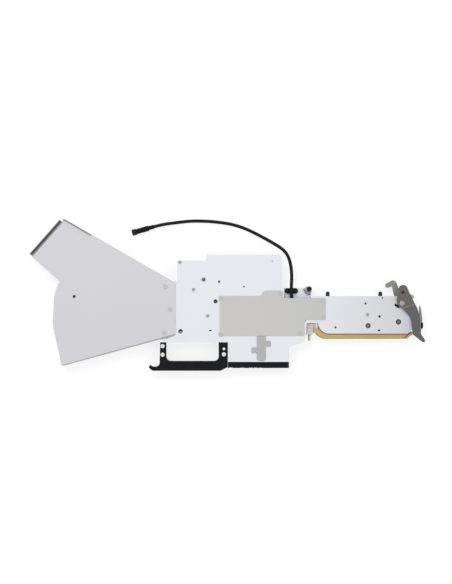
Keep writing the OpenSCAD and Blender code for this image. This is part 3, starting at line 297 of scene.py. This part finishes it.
def buildZone():
    group, start, end = newGroup("zone", [
        ("Color", "NodeSocketColor", (0.5, 0.5, 0.5, 1)), ("Beyond", "NodeSocketColor", (0.5, 0.5, 0.5, 1)),
        ("Way", "NodeSocketVector", (1, 0, 0)), ("Start", "NodeSocketFloat", 0),
        ("Softness", "NodeSocketFloat", 1)], [("Color", "NodeSocketColor")])
    place = addNode(group, "ShaderNodeTexCoord")
    reach = addNode(group, "ShaderNodeVectorMath", operation="DOT_PRODUCT")
    group.links.new(place.outputs["Object"], reach.inputs[0])
    group.links.new(start.outputs["Way"], reach.inputs[1])
    inMm = scaledMath(group, "MULTIPLY", reach.outputs["Value"], 1 / mm)
    past = scaledMath(group, "SUBTRACT", inMm, start.outputs["Start"])
    ramp = scaledMath(group, "DIVIDE", past, start.outputs["Softness"])
    share = scaledMath(group, "ADD", ramp, 0.5, True)
    mix = addNode(group, "ShaderNodeMix", data_type="RGBA")
    group.links.new(share, mix.inputs["Factor"])
    group.links.new(start.outputs["Color"], mix.inputs["A"])
    group.links.new(start.outputs["Beyond"], mix.inputs["B"])
    group.links.new(mix.outputs["Result"], end.inputs["Color"])
    return group


mottle, grain, edgeWear, zone = buildMottle(), buildGrain(), buildEdgeWear(), buildZone()


def placeGroup(tree, group):
    return addNode(tree, "ShaderNodeGroup", node_tree=group)


def makeFinish(name, look):
    material = bpy.data.materials.new(name)
    material.use_nodes = True
    tree = material.node_tree
    shader = tree.nodes["Principled BSDF"]
    shader.inputs["Metallic"].default_value = look.get("metal", 0)
    shader.inputs["Coat Weight"].default_value = look.get("coat", 0)
    shader.inputs["Specular IOR Level"].default_value = look.get("shine", 0.5)
    clouds = placeGroup(tree, mottle)
    clouds.inputs["Color"].default_value = look["color"]
    clouds.inputs["Tint"].default_value = look["tint"]
    clouds.inputs["Scale"].default_value = look.get("clouds", 22)
    clouds.inputs["Amount"].default_value = look.get("tinting", 0.5)
    clouds.inputs["Roughness"].default_value = look["rough"]
    clouds.inputs["Spread"].default_value = look.get("spread", 0.15)
    worn = placeGroup(tree, edgeWear)
    worn.inputs["Worn"].default_value = look["worn"]
    worn.inputs["Amount"].default_value = look.get("wear", 0.4)
    colour = clouds.outputs["Color"]
    for way, begins, softness, beyond in look.get("zones", []):
        part = placeGroup(tree, zone)
        part.inputs["Way"].default_value = way
        part.inputs["Start"].default_value = begins
        part.inputs["Softness"].default_value = softness
        part.inputs["Beyond"].default_value = beyond
        tree.links.new(colour, part.inputs["Color"])
        colour = part.outputs["Color"]
    tree.links.new(colour, worn.inputs["Color"])
    tree.links.new(worn.outputs["Color"], shader.inputs["Base Color"])
    tree.links.new(clouds.outputs["Roughness"], shader.inputs["Roughness"])
    surface = placeGroup(tree, grain)
    surface.inputs["Scale"].default_value = look.get("grain", 1400)
    surface.inputs["Stretch"].default_value = look.get("stretch", (1, 1, 1))
    bump = addNode(tree, "ShaderNodeBump")
    bump.inputs["Strength"].default_value = look.get("bump", 0.15)
    bump.inputs["Distance"].default_value = look.get("deep", 0.04) * mm
    tree.links.new(surface.outputs["Height"], bump.inputs["Height"])
    tree.links.new(bump.outputs["Normal"], shader.inputs["Normal"])
    return material


# ways square to the chute's mouth, to its deck edge, to the lever's fold and to the guide's front end
mouthWay, deckWay, foldWay = (-0.7501, 0.6613, 0), (0.2672, -0.9636, 0), (-0.3216, 0.947, 0)
tipWay, noseWay, tailWay = (0.649, -0.761, 0), (1, 0, 0), (-1, 0, 0)

# zones: way, where it begins along that way in mm, softness in mm, and the colour beyond
finishes = {
    "whitePaint": {"color": tone(233, 234, 239), "tint": tone(226, 228, 235), "rough": 0.42,
                   "worn": tone(200, 202, 208), "wear": 0.5, "grain": 2600, "bump": 0.12,
                   # painted shade: the white plate darkens towards the nose, and a bluish painted shade lies
                   # on the nose end from 6.2 mm
                   "zones": [(noseWay, -60, 150, tone(209, 210, 214)),
                             (noseWay, 6.2, 0.8, tone(204, 206, 218))]},
    "shelfPaint": {"color": tone(228, 229, 233), "tint": tone(218, 219, 224), "rough": 0.4,
                   "worn": tone(196, 198, 204), "wear": 0.5, "grain": 2200, "bump": 0.12},
    "shadeScrew": {"color": tone(196, 196, 195), "tint": tone(184, 184, 183), "rough": 0.4, "metal": 0.1,
                   "worn": tone(214, 214, 213), "grain": 2400, "clouds": 180},
    "rivetSteel": {"color": tone(42, 41, 41), "tint": tone(54, 53, 52), "rough": 0.42, "metal": 0.2,
                   "worn": tone(120, 118, 116), "grain": 2200, "clouds": 160,
                   "zones": [(noseWay, 14, 0.5, tone(190, 190, 188))]},
    "pinBlack": {"color": tone(24, 24, 26), "tint": tone(32, 32, 34), "rough": 0.5, "shine": 0.15,
                 "worn": tone(60, 60, 62), "grain": 2200},
    "coverPaint": {"color": tone(201, 200, 198), "tint": tone(194, 193, 190), "rough": 0.5,
                   "worn": tone(168, 167, 165), "wear": 0.6, "grain": 2200, "bump": 0.2,
                   # painted shade: the cover darkens slightly towards the nose
                   "zones": [(noseWay, -160, 120, tone(195, 195, 193))]},
    "ribbonPaint": {"color": tone(181, 180, 181), "tint": tone(173, 172, 173), "rough": 0.5,
                    "worn": tone(150, 150, 152), "wear": 0.7, "grain": 2200, "bump": 0.2},
    "chutePaint": {"color": tone(211, 211, 216), "tint": tone(203, 203, 209), "clouds": 9, "rough": 0.44,
                   "worn": tone(158, 158, 162), "wear": 0.7, "grain": 2600, "bump": 0.12,
                   # painted shade: a dark band along the deck edge for the rim wall in shadow, a grey band
                   # at the mouth for the lip floor in shadow, and a darker outer band for the shaded roll of
                   # the lip
                   "zones": [(deckWay, -72.4, 1, tone(160, 160, 164)),
                             (mouthWay, 476.4, 0.5, tone(160, 158, 162)),
                             (mouthWay, 481, 0.8, tone(100, 99, 102))]},
    "milledAluminium": {"color": tone(206, 207, 211), "tint": tone(192, 193, 198), "rough": 0.38,
                        "metal": 0.85, "worn": tone(226, 227, 230), "grain": 1500, "stretch": (0.08, 1, 1)},
    "screwSteel": {"color": tone(182, 183, 185), "tint": tone(160, 161, 164), "rough": 0.34, "metal": 0.8,
                   "worn": tone(216, 217, 219), "grain": 2400, "clouds": 180},
    "whiteScrew": {"color": tone(232, 232, 230), "tint": tone(218, 218, 214), "rough": 0.4,
                   "worn": tone(190, 190, 188), "grain": 2400, "clouds": 180},
    "blackScrew": {"color": tone(30, 30, 32), "tint": tone(24, 24, 25), "rough": 0.5, "shine": 0.2,
                   "worn": tone(84, 84, 86), "grain": 2400},
    "blackPlastic": {"color": tone(21, 22, 25), "tint": tone(15, 16, 18), "rough": 0.56, "shine": 0.12,
                     "worn": tone(52, 53, 56), "wear": 0.3, "grain": 1700, "bump": 0.35, "deep": 0.06},
    "keyPlastic": {"color": tone(38, 39, 42), "tint": tone(31, 32, 34), "rough": 0.5, "shine": 0.2,
                   "worn": tone(86, 87, 90), "grain": 2000, "bump": 0.25},
    "blackRubber": {"color": tone(18, 18, 20), "tint": tone(24, 24, 26), "rough": 0.76, "shine": 0.1,
                    "worn": tone(44, 44, 46), "wear": 0.2, "grain": 1300, "bump": 0.4, "deep": 0.06},
    "jacket": {"color": tone(20, 20, 22), "tint": tone(27, 27, 30), "rough": 0.6, "shine": 0.16,
               "worn": tone(44, 44, 46), "wear": 0, "grain": 1100, "bump": 0.3, "deep": 0.05},
    "leverSteel": {"color": tone(94, 93, 95), "tint": tone(100, 96, 93), "rough": 0.46, "metal": 0.3,
                   "worn": tone(158, 156, 154), "wear": 0.7, "clouds": 45, "grain": 1200,
                   "stretch": (1, 0.25, 1), "bump": 0.3,
                   # painted highlight: a lighter band across the lever along its step
                   "zones": [(foldWay, 16.9, 0.3, tone(138, 135, 132)),
                             (foldWay, 18, 0.4, tone(101, 97, 94))]},
    "hookSteel": {"color": tone(152, 150, 145), "tint": tone(128, 125, 120), "rough": 0.42, "metal": 0.35,
                  "worn": tone(196, 194, 188), "wear": 0.6, "clouds": 70, "grain": 1100, "bump": 0.35},
    "darkSteel": {"color": tone(52, 52, 55), "tint": tone(42, 42, 44), "rough": 0.46, "metal": 0.3,
                  "shine": 0.25, "worn": tone(104, 104, 107), "wear": 0.5, "clouds": 120, "grain": 1600},
    "bushSteel": {"color": tone(60, 61, 65), "tint": tone(50, 51, 54), "rough": 0.42, "metal": 0.2,
                  "shine": 0.3, "worn": tone(110, 112, 120), "clouds": 150, "grain": 1800,
                  "zones": [(tailWay, 20, 1, tone(80, 85, 101))]},
    "shaftSteel": {"color": tone(124, 126, 132), "tint": tone(106, 108, 114), "rough": 0.36, "metal": 0.4,
                   "worn": tone(170, 172, 176), "clouds": 120, "grain": 2200},
    # spring steel, darkened so that the notch liner also gives a painted shadow streak along the notch
    "springSteel": {"color": tone(92, 92, 95), "tint": tone(76, 76, 78), "rough": 0.36, "metal": 0.5,
                    "worn": tone(150, 150, 152), "grain": 2200},
    "yellowGuide": {"color": tone(206, 186, 112), "tint": tone(184, 154, 74), "tinting": 0.9, "clouds": 30,
                    "rough": 0.4, "metal": 0.15, "worn": tone(226, 212, 160), "wear": 0.5, "grain": 1300,
                    "stretch": (0.1, 1, 1), "zones": [
                        # painted shadow: a dark line across the guide's front end, for the gap between plate
                        # and guide
                        (noseWay, -62, 46, tone(190, 162, 84)), (tipWay, 23.3, 0.4, tone(96, 66, 54)),
                        (tipWay, 24.8, 0.5, tone(190, 166, 100))]},
    # painted shade: the rim is chute grey darkened for its edge seen in shadow
    "rimPaintedShade": {"color": tone(134, 134, 137), "tint": tone(120, 120, 123), "rough": 0.46,
                 "worn": tone(170, 170, 173), "wear": 0.6, "grain": 2600, "bump": 0.12},
    "bronzedSteel": {"color": tone(134, 116, 86), "tint": tone(104, 88, 64), "rough": 0.42, "metal": 0.4,
                     "worn": tone(176, 158, 120), "clouds": 60, "grain": 1300, "stretch": (0.1, 1, 1)},
    "oliveStrip": {"color": tone(150, 142, 92), "tint": tone(120, 112, 66), "rough": 0.36, "metal": 0.5,
                   "worn": tone(196, 188, 140), "clouds": 50, "grain": 1300, "stretch": (0.1, 1, 1)},
    "creamPlastic": {"color": tone(205, 198, 168), "tint": tone(190, 182, 148), "rough": 0.48,
                     "worn": tone(222, 216, 192), "grain": 1700, "bump": 0.25},
    "blockPlastic": {"color": tone(203, 203, 202), "tint": tone(190, 190, 188), "rough": 0.5,
                     "worn": tone(176, 176, 174), "grain": 1700, "bump": 0.25},
    "boardGreen": {"color": tone(28, 92, 58), "tint": tone(22, 78, 48), "rough": 0.3, "coat": 0.3,
                   "worn": tone(150, 140, 90), "wear": 0.3, "grain": 900},
    "chipBlack": {"color": tone(34, 34, 36), "tint": tone(26, 26, 28), "rough": 0.55,
                  "worn": tone(70, 70, 72), "grain": 1900, "bump": 0.3},
    "ribbonPlastic": {"color": tone(196, 190, 162), "tint": tone(182, 176, 148), "rough": 0.45,
                      "worn": tone(214, 210, 190), "grain": 1500, "stretch": (1, 0.05, 1)},
    "brassTurned": {"color": tone(196, 168, 96), "tint": tone(172, 142, 74), "rough": 0.32, "metal": 0.9,
                    "worn": tone(226, 204, 140), "clouds": 120, "grain": 1800},
    "acetal": {"color": tone(228, 224, 206), "tint": tone(216, 211, 190), "rough": 0.42,
               "worn": tone(236, 233, 220), "grain": 1900, "bump": 0.2},
    "motorCase": {"color": tone(74, 75, 78), "tint": tone(60, 61, 64), "rough": 0.4, "metal": 0.4,
                  "worn": tone(126, 127, 130), "clouds": 80, "grain": 1500},
}
made = {name: makeFinish(name, look) for name, look in finishes.items()}
print("finishes made:", len(made))


# what each CAD node wears

wears = {
    "whitePaint": ["front_plate", "back_plate"],
    "coverPaint": ["electronics_cover"],
    "ribbonPaint": ["key_cable_cover"],
    "chutePaint": ["chute_tray", "chute_face"],
    "milledAluminium": ["spacer_posts", "tape_track", "locator_bar"],
    "screwSteel": ["post_screws", "lever_pivot"],
    "shadeScrew": ["cover_screws", "chute_screws"],
    "rivetSteel": ["lever_rivets"],
    "pinBlack": ["dowel_pins", "roller_pin"],
    "shelfPaint": ["cable_shelf"],
    "whiteScrew": ["grip_screws"],
    "blackScrew": ["clamp_screws"],
    "blackPlastic": ["grip", "key_rail", "cable_clamp", "plug_body"],
    "keyPlastic": ["rail_cap", "key_1", "key_2", "key_3", "key_4"],
    "blackRubber": ["cable_gland", "thumb_pad", "lever_stop"],
    "leverSteel": ["release_lever"],
    "hookSteel": ["clamp_hook", "thumb_plate"],
    "darkSteel": ["locating_pins", "guide_roller", "plug_collar"],
    "bushSteel": ["shaft_bushes"],
    "shaftSteel": ["sprocket", "sprocket_shaft", "drive_shaft"],
    "springSteel": ["notch_liner", "return_spring"],
    "yellowGuide": ["tape_guide"],
    "bronzedSteel": ["guide_rail"],
    "oliveStrip": ["guide_strip"],
    "creamPlastic": ["guide_boss", "guide_peg"],
    "blockPlastic": ["guide_block"],
    "boardGreen": ["circuit_board"],
    "chipBlack": ["board_chips"],
    "ribbonPlastic": ["key_cable"],
    "brassTurned": ["board_standoffs", "sprocket_gear", "drive_gear", "motor_pinion"],
    "acetal": ["idler_gear", "reduction_gear"],
    "motorCase": ["motor"],
    "jacket": ["cable"],
}
finishOf = {node: made[name] for name, members in wears.items() for node in members}
for node, material in finishOf.items():
    nodes[node].data.materials.clear()
    nodes[node].data.materials.append(material)

# pieces with rounded edges

# edge radius in mm for each node that is seen from outside
edges = {
    "front_plate": 0.3, "back_plate": 0.3, "electronics_cover": 0.35, "key_cable_cover": 0.3,
    "chute_face": 0.3, "chute_tray": 0.25, "grip": 1.0, "key_rail": 0.45, "rail_cap": 0.5,
    "key_1": 0.3, "key_2": 0.3, "key_3": 0.3, "key_4": 0.3,
    "tape_guide": 0.25, "guide_block": 0.4, "guide_boss": 0.35, "guide_peg": 0.3,
    "cable_clamp": 0.6, "cable_shelf": 0.3, "locator_bar": 0.3,
    "release_lever": 0.5, "clamp_hook": 0.8, "thumb_plate": 0.4, "lever_stop": 0.35,
    "locating_pins": 0.25, "guide_roller": 0.4, "lever_pivot": 0.3, "lever_rivets": 0.3,
    "cover_screws": 0.25, "chute_screws": 0.25, "post_screws": 0.2, "grip_screws": 0.35,
    "clamp_screws": 0.25, "shaft_bushes": 0.3,
}


# radius in mm of the upright corners, and the shortest side that they are cut from
corners = {"electronics_cover": (3, 6.5), "clamp_hook": (1.6, 1.8), "key_cable_cover": (1.4, 4)}
cornerTest = {"lean": 0.01, "bentBy": 16, "segments": 5}  # mm and degrees


def roundCorners(piece, radius, shortest):
    bpy.ops.object.mode_set(mode="EDIT")
    bpy.context.tool_settings.mesh_select_mode = (False, True, False)
    bpy.ops.mesh.select_all(action="DESELECT")
    bpy.ops.object.mode_set(mode="OBJECT")
    mesh = piece.data
    besides = {}
    for face in mesh.polygons:
        for key in face.edge_keys:
            besides.setdefault(key, []).append(face)
    tall = max(v.co.z for v in mesh.vertices) - min(v.co.z for v in mesh.vertices)
    for edge in mesh.edges:
        first, second = (mesh.vertices[i].co for i in edge.vertices)
        faces = besides.get(edge.key, [])
        if (first - second).xy.length > cornerTest["lean"] * mm or len(faces) != 2:
            continue
        bent = faces[0].normal.angle(faces[1].normal, 0) > math.radians(cornerTest["bentBy"])
        edge.select = bent and min(face.area for face in faces) > shortest * mm * tall
    bpy.ops.object.mode_set(mode="EDIT")
    bpy.ops.mesh.bevel(offset=radius * mm, segments=cornerTest["segments"], affect="EDGES",
                       clamp_overlap=True)
    bpy.ops.object.mode_set(mode="OBJECT")


def softened(node, radius):
    piece = addObject(node + "_finished", nodes[node].data.copy())
    weld(piece, flatten=True, turnOutwards=False)
    if node in corners:
        roundCorners(piece, *corners[node])
    softenEdges(piece, radius)
    dress(piece, finishOf[node], slotOf(node), bodyOf(node), node)


for node, radius in edges.items():
    softened(node, radius)
print("rounded pieces made:", len(edges))

# pieces cut from an outline


def arc(middle, radius, start, stop, steps):
    angles = [math.radians(start + (stop - start) * i / steps) for i in range(steps + 1)]
    return [(middle[0] + radius * math.cos(a), middle[1] + radius * math.sin(a)) for a in angles]


def meshFromCurve(name, points, closed, **settings):
    data = bpy.data.curves.new(name, "CURVE")
    for key, value in settings.items():
        setattr(data, key, value)
    spline = data.splines.new("POLY")
    spline.points.add(len(points) - 1)
    for knot, (x, y, z) in zip(spline.points, points):
        knot.co = (x * mm, y * mm, z * mm, 1)
    spline.use_cyclic_u = closed
    makeActive(addObject(name, data))
    bpy.ops.object.convert(target="MESH")
    return bpy.context.object


def cutPiece(name, outline, height, radius):
    low, high = height
    piece = meshFromCurve(name, [(x, y, 0) for x, y in outline], True, dimensions="2D", fill_mode="BOTH",
                          extrude=(high - low) / 2 * mm)
    piece.location.z = (low + high) / 2 * mm
    settle(piece, name)
    weld(piece, flatten=True, turnOutwards=True)
    softenEdges(piece, radius)
    return piece


# the guide over the tape: round the bend at the tail, along the deck, up the ramp to the front
guide = {
    "bend": (-104, -1), "innerRadius": 21.6, "innerAngles": (262, 222), "innerSteps": 5,
    "outerBend": (-109.5, -8), "outerRadius": 16.4, "outerAngles": (212, 268), "outerSteps": 9,
    "tail": [(-126.9, -10.4), (-126.2, -16)], "deck": -24.3, "deckEnd": 11, "rampEnd": 15.2, "rise": 0.9,
    "front": [(22, -18.5), (20, -18.3), (10.8, -22.6)], "height": (3.2, 20.8), "edge": 0.25,
}
# the strip lies on the guide and reaches a lap into it
strip = {"thick": 1, "lap": 0.1, "angles": (214, 268), "deckEnd": 11.2, "rampEnd": 15.6,
         "height": (3.5, 20.5), "edge": 0.2}


def makeGuide():
    deck = guide["deck"]
    ramp = [(guide["deckEnd"], deck), (guide["rampEnd"], deck + guide["rise"])]
    outerBend = arc(guide["outerBend"], guide["outerRadius"], *guide["outerAngles"], guide["outerSteps"])
    innerBend = arc(guide["bend"], guide["innerRadius"], *guide["innerAngles"], guide["innerSteps"])
    outline = guide["tail"] + outerBend + ramp + guide["front"] + innerBend
    shoulder = cutPiece("guide_shoulder", outline, guide["height"], guide["edge"])
    dress(shoulder, made["yellowGuide"], "yellow_guide", "frame")


def makeStrip():
    thick, lap = strip["thick"], strip["lap"]
    deck, rise = guide["deck"], guide["rise"]
    middle, radius, steps = guide["outerBend"], guide["outerRadius"], guide["outerSteps"]
    outside = arc(middle, radius + thick, *strip["angles"], steps)
    outside += [(strip["deckEnd"], deck - thick), (strip["rampEnd"], deck + rise - thick)]
    inside = [(guide["rampEnd"], deck + rise + lap), (guide["deckEnd"], deck + lap)]
    inside += arc(middle, radius - lap, *strip["angles"][::-1], steps)
    band = cutPiece("guide_strip_finished", outside + inside, strip["height"], strip["edge"])
    dress(band, made["oliveStrip"], "guide_olive", "frame", "guide_strip")


# upright rim on the chute's face, from its tip inwards; heights are from the top of the face
rim = {"tip": (-502, 154.8), "way": (0.866, -0.5), "inwards": (-0.5, -0.866), "length": 47.6, "thick": 1.4,
       "below": 0.6, "above": 2.8, "edge": 0.3}


def makeRim():
    (x, y), way, inwards = rim["tip"], rim["way"], rim["inwards"]
    far = (x + way[0] * rim["length"], y + way[1] * rim["length"])
    inner = [(px + inwards[0] * rim["thick"], py + inwards[1] * rim["thick"]) for px, py in ((x, y), far)]
    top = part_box("chute_face")[1][2] / mm
    height = (top - rim["below"], top + rim["above"])
    piece = cutPiece("chute_rim", [(x, y)] + inner + [far], height, rim["edge"])
    dress(piece, made["rimPaintedShade"], "chute_grey", "frame")


pad = {"outline": [(34.1, -0.9), (36.6, -1.1), (37.5, -2.4), (37.4, -8.4), (36.4, -10.4), (34.7, -10.2),
                   (34, -6)],
       "bottom": 6.5, "proud": 0.4, "edge": 0.5}


def makePad():
    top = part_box("thumb_plate")[1][2] / mm
    piece = cutPiece("thumb_pad_finished", pad["outline"], (pad["bottom"], top + pad["proud"]), pad["edge"])
    dress(piece, made["blackRubber"], "black_rubber", "lever", "thumb_pad")


makeGuide()
makeStrip()
makeRim()
makePad()
print("guide, strip, rim and pad made")

# plug

# profiles are (radius, distance from the lead's end); ribs and knurl repeat along the plug
plug = {
    "root": cordRoute["points"][-1], "turn": 196, "steps": 48, "smoothTo": 34, "rings": 4, "slope": 0.1,
    "ribs": {"high": 3.3, "low": 2.9, "start": 1.2, "width": 0.8, "gap": 0.6},
    "knurl": {"high": 4.8, "low": 4.5, "start": 28, "width": 0.9, "gap": 0.3},
    "bodyBack": [(0, 0), (2.9, 0), (3.3, 0.4)],
    "bodyFront": [(3.8, 8), (4.1, 8.6), (4.1, 18.6), (3.7, 19), (3.7, 19.8), (4.1, 20.2), (4.1, 25.4),
                  (3.8, 26), (3.2, 27), (3.2, 29), (0, 29)],
    "ringBack": [(3.22, 27), (4.4, 27), (4.8, 27.5)],
    "ringFront": [(4.6, 33.7), (4.3, 34), (3.2, 34), (3.2, 29), (3.22, 27)],
}


def ridges(look):
    width, slope = look["width"], plug["slope"]
    profile = []
    for i in range(plug["rings"]):
        start = look["start"] + i * (width + look["gap"] + 2 * slope)
        profile += [(look["high"], start), (look["high"], start + width),
                    (look["low"], start + width + slope), (look["low"], start + width + slope + look["gap"])]
    return profile


def turned(name, profile):
    piece = meshFromCurve(name, [(radius, 0, along) for radius, along in profile], False, dimensions="3D")
    applyModifier(piece, "SCREW", axis="Z", steps=plug["steps"], render_steps=plug["steps"],
                  use_merge_vertices=True, merge_threshold=shaping["weld"] * mm)
    piece.rotation_euler = (0, math.radians(90), math.radians(plug["turn"]))
    piece.location = Vector(plug["root"]) * mm
    settle(piece, name)
    weld(piece, flatten=False, turnOutwards=True)
    smooth(piece, plug["smoothTo"])
    return piece


def makePlug():
    body = turned("plug_body_finished", plug["bodyBack"] + ridges(plug["ribs"]) + plug["bodyFront"])
    dress(body, made["blackPlastic"], "black_plastic", "frame", "plug_body")
    ring = turned("plug_collar_finished", plug["ringBack"] + ridges(plug["knurl"]) + plug["ringFront"])
    dress(ring, made["pinBlack"], "dark_steel", "frame", "plug_collar")


makePlug()
print("plug made")

# lead

lead.data.materials.append(made["jacket"])
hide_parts("cable")
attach(lead, "frame")
print("lead declared")

# floor and light

room = {"floor": 6, "floorLevel": -0.05, "floorGrey": 0.8, "floorShare": 0.62, "floorGlow": 1.2,
        "world": 0.64}
# places in metres; both lamps look at the target
target = (-0.26, 0.04, 0)
lamps = {"keyLight": {"place": (-0.9, 1.1, 1.9), "size": 1.2, "power": 16.5},
         "fillLight": {"place": (0.8, -0.9, 1.7), "size": 1.6, "power": 7.5}}


def makeFloor():
    deselectAll()
    bpy.ops.mesh.primitive_plane_add(size=room["floor"], location=(0, 0, room["floorLevel"] * mm))
    floor = settle(bpy.context.object, "floor")
    material = bpy.data.materials.new("floorPale")
    material.use_nodes = True
    tree = material.node_tree
    tree.nodes.remove(tree.nodes["Principled BSDF"])
    plain = addNode(tree, "ShaderNodeBsdfDiffuse")
    plain.inputs["Color"].default_value = (*[room["floorGrey"]] * 3, 1)
    bright = addNode(tree, "ShaderNodeEmission")
    bright.inputs["Color"].default_value = (1, 1, 1, 1)
    bright.inputs["Strength"].default_value = room["floorGlow"]
    paths = addNode(tree, "ShaderNodeLightPath")
    seen = scaledMath(tree, "MAXIMUM", paths.outputs["Is Camera Ray"], paths.outputs["Is Glossy Ray"])
    seen = scaledMath(tree, "MAXIMUM", seen, paths.outputs["Is Transmission Ray"])
    share = scaledMath(tree, "MULTIPLY", seen, room["floorShare"])
    mix = addNode(tree, "ShaderNodeMixShader")
    tree.links.new(share, mix.inputs["Fac"])
    tree.links.new(plain.outputs[0], mix.inputs[1])
    tree.links.new(bright.outputs[0], mix.inputs[2])
    tree.links.new(mix.outputs[0], tree.nodes["Material Output"].inputs["Surface"])
    floor.data.materials.append(material)


def makeLight(name, place, size, power):
    data = bpy.data.lights.new(name, "AREA")
    data.shape = "SQUARE"
    data.size = size
    data.energy = power
    light = addObject(name, data)
    light.location = place
    light.rotation_euler = (Vector(target) - Vector(place)).to_track_quat("-Z", "Y").to_euler()


def makeWorld():
    world = bpy.data.worlds.new("paleRoom")
    world.use_nodes = True
    tree = world.node_tree
    light = tree.nodes["Background"]
    light.inputs["Color"].default_value = (1, 1, 1, 1)
    light.inputs["Strength"].default_value = room["world"]
    bright = addNode(tree, "ShaderNodeBackground")
    bright.inputs["Strength"].default_value = 1
    paths = addNode(tree, "ShaderNodeLightPath")
    mix = addNode(tree, "ShaderNodeMixShader")
    tree.links.new(paths.outputs["Is Camera Ray"], mix.inputs["Fac"])
    tree.links.new(light.outputs[0], mix.inputs[1])
    tree.links.new(bright.outputs[0], mix.inputs[2])
    tree.links.new(mix.outputs[0], tree.nodes["World Output"].inputs["Surface"])
    bpy.context.scene.world = world


makeFloor()
makeWorld()
for name, lamp in lamps.items():
    makeLight(name, **lamp)
bpy.context.scene.view_settings.view_transform = "Standard"
print("floor and light made")
